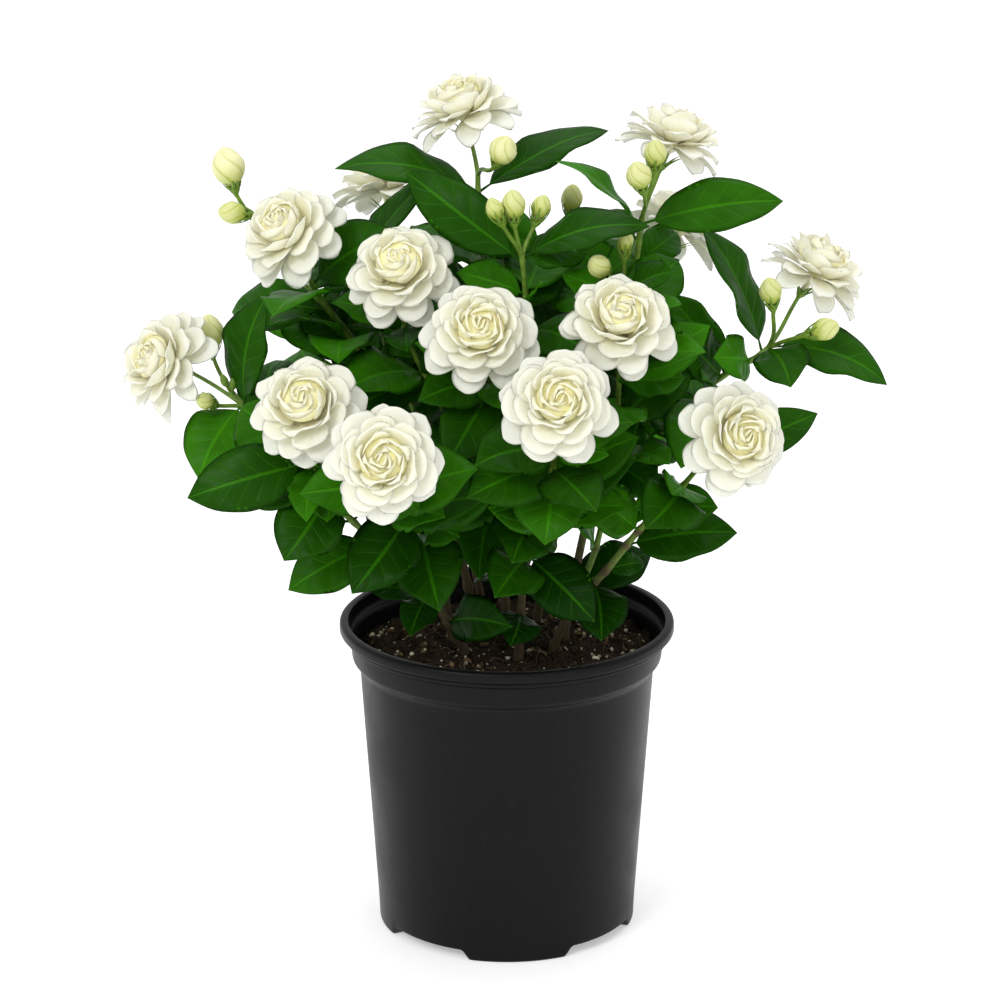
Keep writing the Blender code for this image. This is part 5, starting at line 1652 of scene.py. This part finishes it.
# Shoots whose blooms show a rolled heart. In the others the inner petals close over it.
OPEN = ("centre", "front", "low_front", "low_right", "back_low", "back_centre")
# Shoots whose blooms are seen from the side, with narrower outer petals
FANNED = ("top", "upper_right", "right", "far_left", "back_left", "back_right")
PETAL_ACROSS = 10
PETAL_RINGS = 14
PETAL_MIDLINE = 97
PETAL_HALF_THICK = 0.3
OUTER_DEPTH = 0.3
FANNED_WIDTH = 0.84
# How blunt a petal's tip is, and the share of its length from which the tip rolls back
BLUNT = 2.4
BLUNT_FANNED = 1.8
ROLL_FROM = 0.68
NECK_AROUND = 24


def petal_rings(layer, fanned, draw):
    """All petals of one layer.

    The midline's lean runs evenly from root to tip, plus the roll of the tip, and its sines and
    cosines add up to the radius and the height. Across it the blade is an arc as tight as the
    wrap over the radius. Tuck, dish, ripples, edges that bend back and half the thickness lift
    it off the arc.
    """
    count, root_radius, root_height, length, width, lean, reached, roll, wrap, tuck, depth = layer
    if fanned and depth < OUTER_DEPTH:
        width = FANNED_WIDTH * width
    s = np.linspace(0, 1, PETAL_MIDLINE)
    turn = np.arange(count) * 2 * math.pi / count + draw.uniform(-0.13, 0.13, count)
    turn = turn + draw.uniform(0, 2 * math.pi)
    long = length * draw.uniform(0.92, 1.03, count)[:, None]
    wide = width * draw.uniform(0.9, 1.08, count)[:, None]
    rolled = np.clip((s - ROLL_FROM) / (1 - ROLL_FROM), 0, 1) ** 2
    tilt = lean + (reached - lean) * s + roll * rolled
    tilt = np.radians(tilt + draw.uniform(-5, 5, count)[:, None] * s)
    radius = root_radius + np.cumsum(np.sin(tilt), axis=1) * long / PETAL_MIDLINE
    height = root_height + np.cumsum(np.cos(tilt), axis=1) * long / PETAL_MIDLINE
    picks = np.round(np.sin(np.linspace(0, math.pi / 2, PETAL_RINGS)) * (PETAL_MIDLINE - 1))
    picks = picks.astype(int)
    s, tilt, radius, height = s[picks], tilt[:, picks], radius[:, picks], height[:, picks]
    blunt = (BLUNT_FANNED if fanned else BLUNT) + 3.2 * depth
    broad = 0.12 * depth + draw.uniform(0.56, 0.64, count)[:, None]
    rise = np.clip(s / broad, 0, 1)
    fall = np.clip((s - broad) / (1 - broad), 0, 1)
    outline = (0.3 + 0.7 * rise * rise * (3 - 2 * rise)) * np.maximum(1 - fall ** blunt, 0) ** 0.5
    half = (wide / 2 * outline)[:, :, None]
    v, off = blade_section(PETAL_ACROSS)
    bend = wrap / np.maximum(radius, 3.5)[:, :, None]
    arc = bend * half * v
    sideways, lift = np.sin(arc) / bend, (1 - np.cos(arc)) / bend
    phase = draw.uniform(0, 6.28, (3, count))[:, :, None, None]
    at = s[None, :, None]
    lift = lift + tuck * v * at ** 0.5
    lift = lift + 1.6 * (1 - wrap) * v ** 2 * np.sin(math.pi * at ** 1.3)
    lift = lift + 0.45 * at * v ** 2 * np.sin(4 * at + phase[0])
    lift = lift + 0.4 * at * np.sin(2.6 * v + phase[1]) * np.abs(v) ** 0.5
    lift = lift - 1.5 * at ** 3 * np.abs(v) ** 3
    lift = lift + PETAL_HALF_THICK * (1 + 0.5 * depth) * off
    return blades_round(turn, tilt, radius, height, sideways, lift), blade_uv(s, v)


def neck_rings():
    """The tube under the petals and the soft core that fills the heart below their edges."""
    section = np.array(((0.0, SEAT), (1.6, SEAT), (1.7, 8.0), (2.2, 11.5), (3.6, 13.6),
                        (4.2, 17.0), (7.0, 20.5), (10.2, 23.6), (11.2, 26.0), (9.6, 28.0),
                        (7.0, 29.0), (4.2, 29.8), (2.0, 30.2), (0.0, 30.3)))
    radius, height, angle = section[:, :1], section[:, 1:], all_round(NECK_AROUND)
    pale = np.clip((16.0 - height) / 4.0, 0, 1)
    return turned(radius, height, angle)[None], stacked(angle / (2 * math.pi), pale)[None]


def petal_finish(white, cream):
    """Soft petals: white edge, cream towards root and heart, partly painted light; faint veins.
    """
    finish, tree, shader = new_finish("petal_white", 0.55, 0.3)
    depth, tint = value_of(tree, "depth"), value_of(tree, "tint")
    root = smooth_mask(tree, uv_parts(tree)[1], 0.1, 0.95, 1.0, 0.0)
    # Painted light in part: deep petals and petal roots, where shade falls, take the brighter
    # cream, which is also their own warmer colour
    cream_and_painted_light = maths(tree, "MULTIPLY_ADD", root, 0.65, maths(tree, "MULTIPLY", depth, 0.5))
    cream_and_painted_light = maths(tree, "MULTIPLY", cream_and_painted_light, maths(tree, "MULTIPLY_ADD", depth, 0.65, 0.55))
    cream_and_painted_light = maths(tree, "MULTIPLY", cream_and_painted_light, maths(tree, "MULTIPLY_ADD", tint, 0.4, 0.8),
                 clamp=True)
    streaks = streaks_on(tree, 26.0, 1.6)
    tone = mixed(tree, cream_and_painted_light, shade(white), shade(cream))
    vein = smooth_mask(tree, streaks, 0.45, 0.7, 0.0, 0.12)
    tone = mixed(tree, vein, tone, shade(cream, 0.92))
    tree.links.new(tone, shader.inputs["Base Color"])
    let_light_in(shader, 0.5, (1.0, 0.97, 0.85), 0.004)
    shader.inputs["Sheen Weight"].default_value = 0.08
    bump(tree, shader, streaks, 0.0003, 0.5)
    return finish


class BloomSettings(bpy.types.PropertyGroup):
    white: FloatVectorProperty(name="White", description="Colour of a petal's edge",
                               subtype="COLOR", default=(0.85, 0.855, 0.73))
    # The cream is brighter than the white: it is the heart's own colour, and also painted light
    # that lifts the heart's shade
    cream: FloatVectorProperty(name="Cream", description="Colour of a petal's root",
                               subtype="COLOR", default=(1.0, 0.93, 0.5))


class JASMINE_OT_blooms(bpy.types.Operator):
    """Open the double blooms, each a body of petals in layers round a rolled heart"""
    bl_idname = "jasmine.blooms"
    bl_label = "Blooms"

    def execute(self, context):
        bloom = context.scene.jasmine_blooms
        finish = petal_finish(bloom.white, bloom.cream)
        for number, (shoot, centre, axis) in enumerate(BLOOMS, 1):
            draw = np.random.default_rng(SEED * 100 + number)
            foot, axis = bloom_foot(centre, axis), unit(axis)
            petals = Surface()
            rings, uv = neck_rings()
            # The core takes the cream of the deep petals, which is partly painted light that
            # lifts the shade in the heart
            petals.add(placed(rings, foot, axis), uv, depth=0.8, tint=0.5)
            for layer in OPEN_LAYERS if shoot in OPEN else DOMED_LAYERS:
                rings, uv = petal_rings(layer, shoot in FANNED, draw)
                tint = draw.uniform(0, 1, len(rings))[:, None, None]
                petals.add(placed(rings, foot, axis), uv, depth=layer[-1], tint=tint)
            petals.make(f"bloom_{number:02d}_petals", finish, "petals", f"bloom_{number:02d}")
        return {"FINISHED"}


# Buds

BUD_RINGS = 30
BUD_PETALS = 5
# Columns of the grid over one petal, from the edge on top to the next petal's edge
BUD_PLACES = np.array((0.0, 0.05, 0.14, 0.27, 0.42, 0.57, 0.72, 0.85, 0.94, 0.99))
# Radii of a bud in full cream and of one in full green
RIPE = 8.5
UNRIPE = 5.0


def bud_rings(length, radius, draw):
    """A furled bud: an egg whose surface steps in where each petal tucks under the next. The
    columns of the grid wind round it towards the tip, so that each step runs along one."""
    t = np.linspace(0, 1, BUD_RINGS)[:, None]
    wind = np.tile(BUD_PLACES, BUD_PETALS)
    turns = (np.arange(BUD_PETALS)[:, None] + BUD_PLACES).ravel() / BUD_PETALS
    angle = 2 * math.pi * (turns - 0.3 * t ** 1.4 + draw.uniform(0, 1))
    egg = np.sin(math.pi * t ** 0.95) ** 0.6
    step = 0.07 * (wind ** 0.7 - 0.6) * np.sin(math.pi * t) ** 0.4
    wide = np.maximum(radius * egg * (1 + step), BUD_NECK * (t < 0.12))
    wide = wide * (t > 0) * (t < 1)
    height = SEAT - 0.1 + (length + 0.2) * t
    return turned(wide, height, angle)[None], stacked(turns, t)[None], wind


def bud_finish(cream, green):
    """Waxy cream, green towards the foot and along the seams."""
    finish, tree, shader = new_finish("bud_cream", 0.42, 0.45)
    streaks = streaks_on(tree, 22.0, 1.4)
    foot = smooth_mask(tree, uv_parts(tree)[1], 0.0, 0.75, 1.0, 0.0)
    greener = maths(tree, "MULTIPLY_ADD", foot, 0.75,
                    maths(tree, "MULTIPLY", value_of(tree, "tint"), 0.6))
    edge = smooth_mask(tree, value_of(tree, "seam"), 0.0, 0.3, 0.4, 0.0)
    greener = maths(tree, "ADD", greener, edge, clamp=True)
    tone = mixed(tree, greener, shade(cream), shade(green))
    tone = mixed(tree, maths(tree, "MULTIPLY", streaks, 0.15), tone, shade(cream, 0.7))
    tree.links.new(tone, shader.inputs["Base Color"])
    let_light_in(shader, 0.25, (1.0, 0.9, 0.5), 0.0015)
    bump(tree, shader, streaks, 0.0003, 0.5)
    return finish


class BudSettings(bpy.types.PropertyGroup):
    cream: FloatVectorProperty(name="Cream", description="Colour of a ripe bud",
                               subtype="COLOR", default=(0.84, 0.81, 0.47))
    green: FloatVectorProperty(name="Green", description="Colour of a bud's foot",
                               subtype="COLOR", default=(0.42, 0.5, 0.07))


class JASMINE_OT_buds(bpy.types.Operator):
    """Set the furled buds in their calyxes"""
    bl_idname = "jasmine.buds"
    bl_label = "Buds"

    def execute(self, context):
        buds = context.scene.jasmine_buds
        finish = bud_finish(buds.cream, buds.green)
        for number, (_, centre, axis, length, radius) in enumerate(BUDS, 1):
            draw = np.random.default_rng(SEED * 200 + number)
            rings, uv, seam = bud_rings(length, radius, draw)
            bud = Surface()
            unripe = np.clip((RIPE - radius) / (RIPE - UNRIPE), 0, 1)
            bud.add(placed(rings, bud_foot(centre, axis, length), unit(axis)), uv, seam=seam,
                    tint=unripe)
            bud.make(f"bud_{number:02d}_petals", finish, "buds", f"bud_{number:02d}")
        return {"FINISHED"}


# Stage

class StageSettings(bpy.types.PropertyGroup):
    floor: FloatVectorProperty(name="Floor", description="Colour of the floor", subtype="COLOR",
                               default=(0.9, 0.9, 0.9))
    glow: FloatProperty(name="Glow", description="Light given off by the floor", default=0.36,
                        min=0.0)
    sky: FloatProperty(name="Sky", description="Strength of the light from all round",
                       default=0.72, min=0.0)
    key: FloatProperty(name="Key Light", description="Power of the large soft light",
                       subtype="POWER", default=17.0, min=0.0)


# Lights: place and size in metres, and power as a share of the key light's
LIGHTS = {
    "key_light": ((-1.0, -1.6, 1.5), 0.9, 1.0),
    "fill_light": ((1.1, -1.6, 0.9), 1.2, 0.22),
    "top_light": ((0.2, 0.5, 2.2), 2.0, 1.0),
}
# The point that the lights are aimed at, the floor and the camera, in metres
LIT = Vector((0, 0, 0.28))
FLOOR_RADIUS = 9
FLOOR_SIDES = 64
CAMERA_PLACE = (-0.0035, -1.9, 0.826)
CAMERA_TILT = math.radians(72.5)
# The lens and the width of the sensor, in millimetres
LENS = 140.8
SENSOR = 36.0


def area_light(name, place, size, power):
    """A round soft light at a place, aimed at the middle of the plant."""
    light = bpy.data.lights.new(name, "AREA")
    light.shape, light.size, light.energy = "DISK", size, power
    made = linked(name, light)
    made.location = place
    made.rotation_euler = (Vector(place) - LIT).to_track_quat("Z", "Y").to_euler()


class JASMINE_OT_stage(bpy.types.Operator):
    """Set the pale floor, the soft studio light and the camera"""
    bl_idname = "jasmine.stage"
    bl_label = "Studio"

    def execute(self, context):
        stage = context.scene.jasmine_stage
        finish, tree, shader = new_finish("studio_floor", 0.9, 0.1)
        wear = patches_on(tree, 3.0, 4.0, 0.2, 0.8)
        tone = mixed(tree, wear, shade(stage.floor, 0.99), shade(stage.floor))
        tree.links.new(tone, shader.inputs["Base Color"])
        shader.inputs["Emission Color"].default_value = (1, 1, 1, 1)
        shader.inputs["Emission Strength"].default_value = stage.glow
        disc = turned(FLOOR_RADIUS, 0, all_round(FLOOR_SIDES))
        mesh = bpy.data.meshes.new("studio_floor")
        mesh.from_pydata(disc.tolist(), [], [list(range(len(disc)))])
        mesh.materials.append(finish)
        floor = linked("studio_floor", mesh)
        world = bpy.data.worlds.new("studio_light")
        world.use_nodes = True
        sky = world.node_tree.nodes["Background"]
        sky.inputs["Color"].default_value = (1, 1, 1, 1)
        sky.inputs["Strength"].default_value = stage.sky
        context.scene.world = world
        for name, (place, size, share) in LIGHTS.items():
            area_light(name, place, size, stage.key * share)
        lens = bpy.data.cameras.new("camera")
        lens.lens, lens.sensor_width = LENS, SENSOR
        camera = linked("camera", lens)
        camera.location = CAMERA_PLACE
        camera.rotation_euler = (CAMERA_TILT, 0, 0)
        context.scene.camera = camera
        context.scene.view_settings.view_transform = "Standard"
        return {"FINISHED"}


class JASMINE_PT_panel(bpy.types.Panel):
    """The jasmine's operators, in the order in which they run"""
    bl_idname = "JASMINE_PT_panel"
    bl_label = "Potted Jasmine"
    bl_space_type = "VIEW_3D"
    bl_region_type = "UI"
    bl_category = "Jasmine"

    def draw(self, context):
        for operator in OPERATORS:
            self.layout.operator(operator.bl_idname)


SETTINGS = {
    "jasmine_pot": PotSettings,
    "jasmine_soil": SoilSettings,
    "jasmine_twigs": TwigSettings,
    "jasmine_leaves": LeafSettings,
    "jasmine_blooms": BloomSettings,
    "jasmine_buds": BudSettings,
    "jasmine_stage": StageSettings,
}
OPERATORS = (JASMINE_OT_pot, JASMINE_OT_soil, JASMINE_OT_twigs, JASMINE_OT_leaves,
             JASMINE_OT_blooms, JASMINE_OT_buds, JASMINE_OT_stage)
PLAN = {}


def register():
    for name, settings in SETTINGS.items():
        bpy.utils.register_class(settings)
        setattr(bpy.types.Scene, name, PointerProperty(type=settings))
    for operator in OPERATORS:
        bpy.utils.register_class(operator)
    bpy.utils.register_class(JASMINE_PT_panel)


def unregister():
    bpy.utils.unregister_class(JASMINE_PT_panel)
    for operator in OPERATORS:
        bpy.utils.unregister_class(operator)
    for name, settings in SETTINGS.items():
        delattr(bpy.types.Scene, name)
        bpy.utils.unregister_class(settings)


def plan_shrub():
    """Every leaf: those of the part's plan, and those that fill the crown for the looks."""
    draw = random.Random(SEED)
    crown = new_crown(plan_stalks())
    aimed, paired = aimed_leaves(crown, draw), paired_leaves(crown, draw)
    PLAN["leaves"] = aimed + paired + fill_leaves(crown, random.Random(SEED + 1))
    for leaves, turns in ((aimed, AIMED_TURNS), (paired, PAIRED_TURNS)):
        for stem, leaf in leaves:
            turned_clear(crown, stem, leaf, *turns)


def main():
    register()
    plan_shrub()
    for operator in OPERATORS:
        group, name = operator.bl_idname.split(".")
        getattr(getattr(bpy.ops, group), name)()


if __name__ == "__main__":
    main()
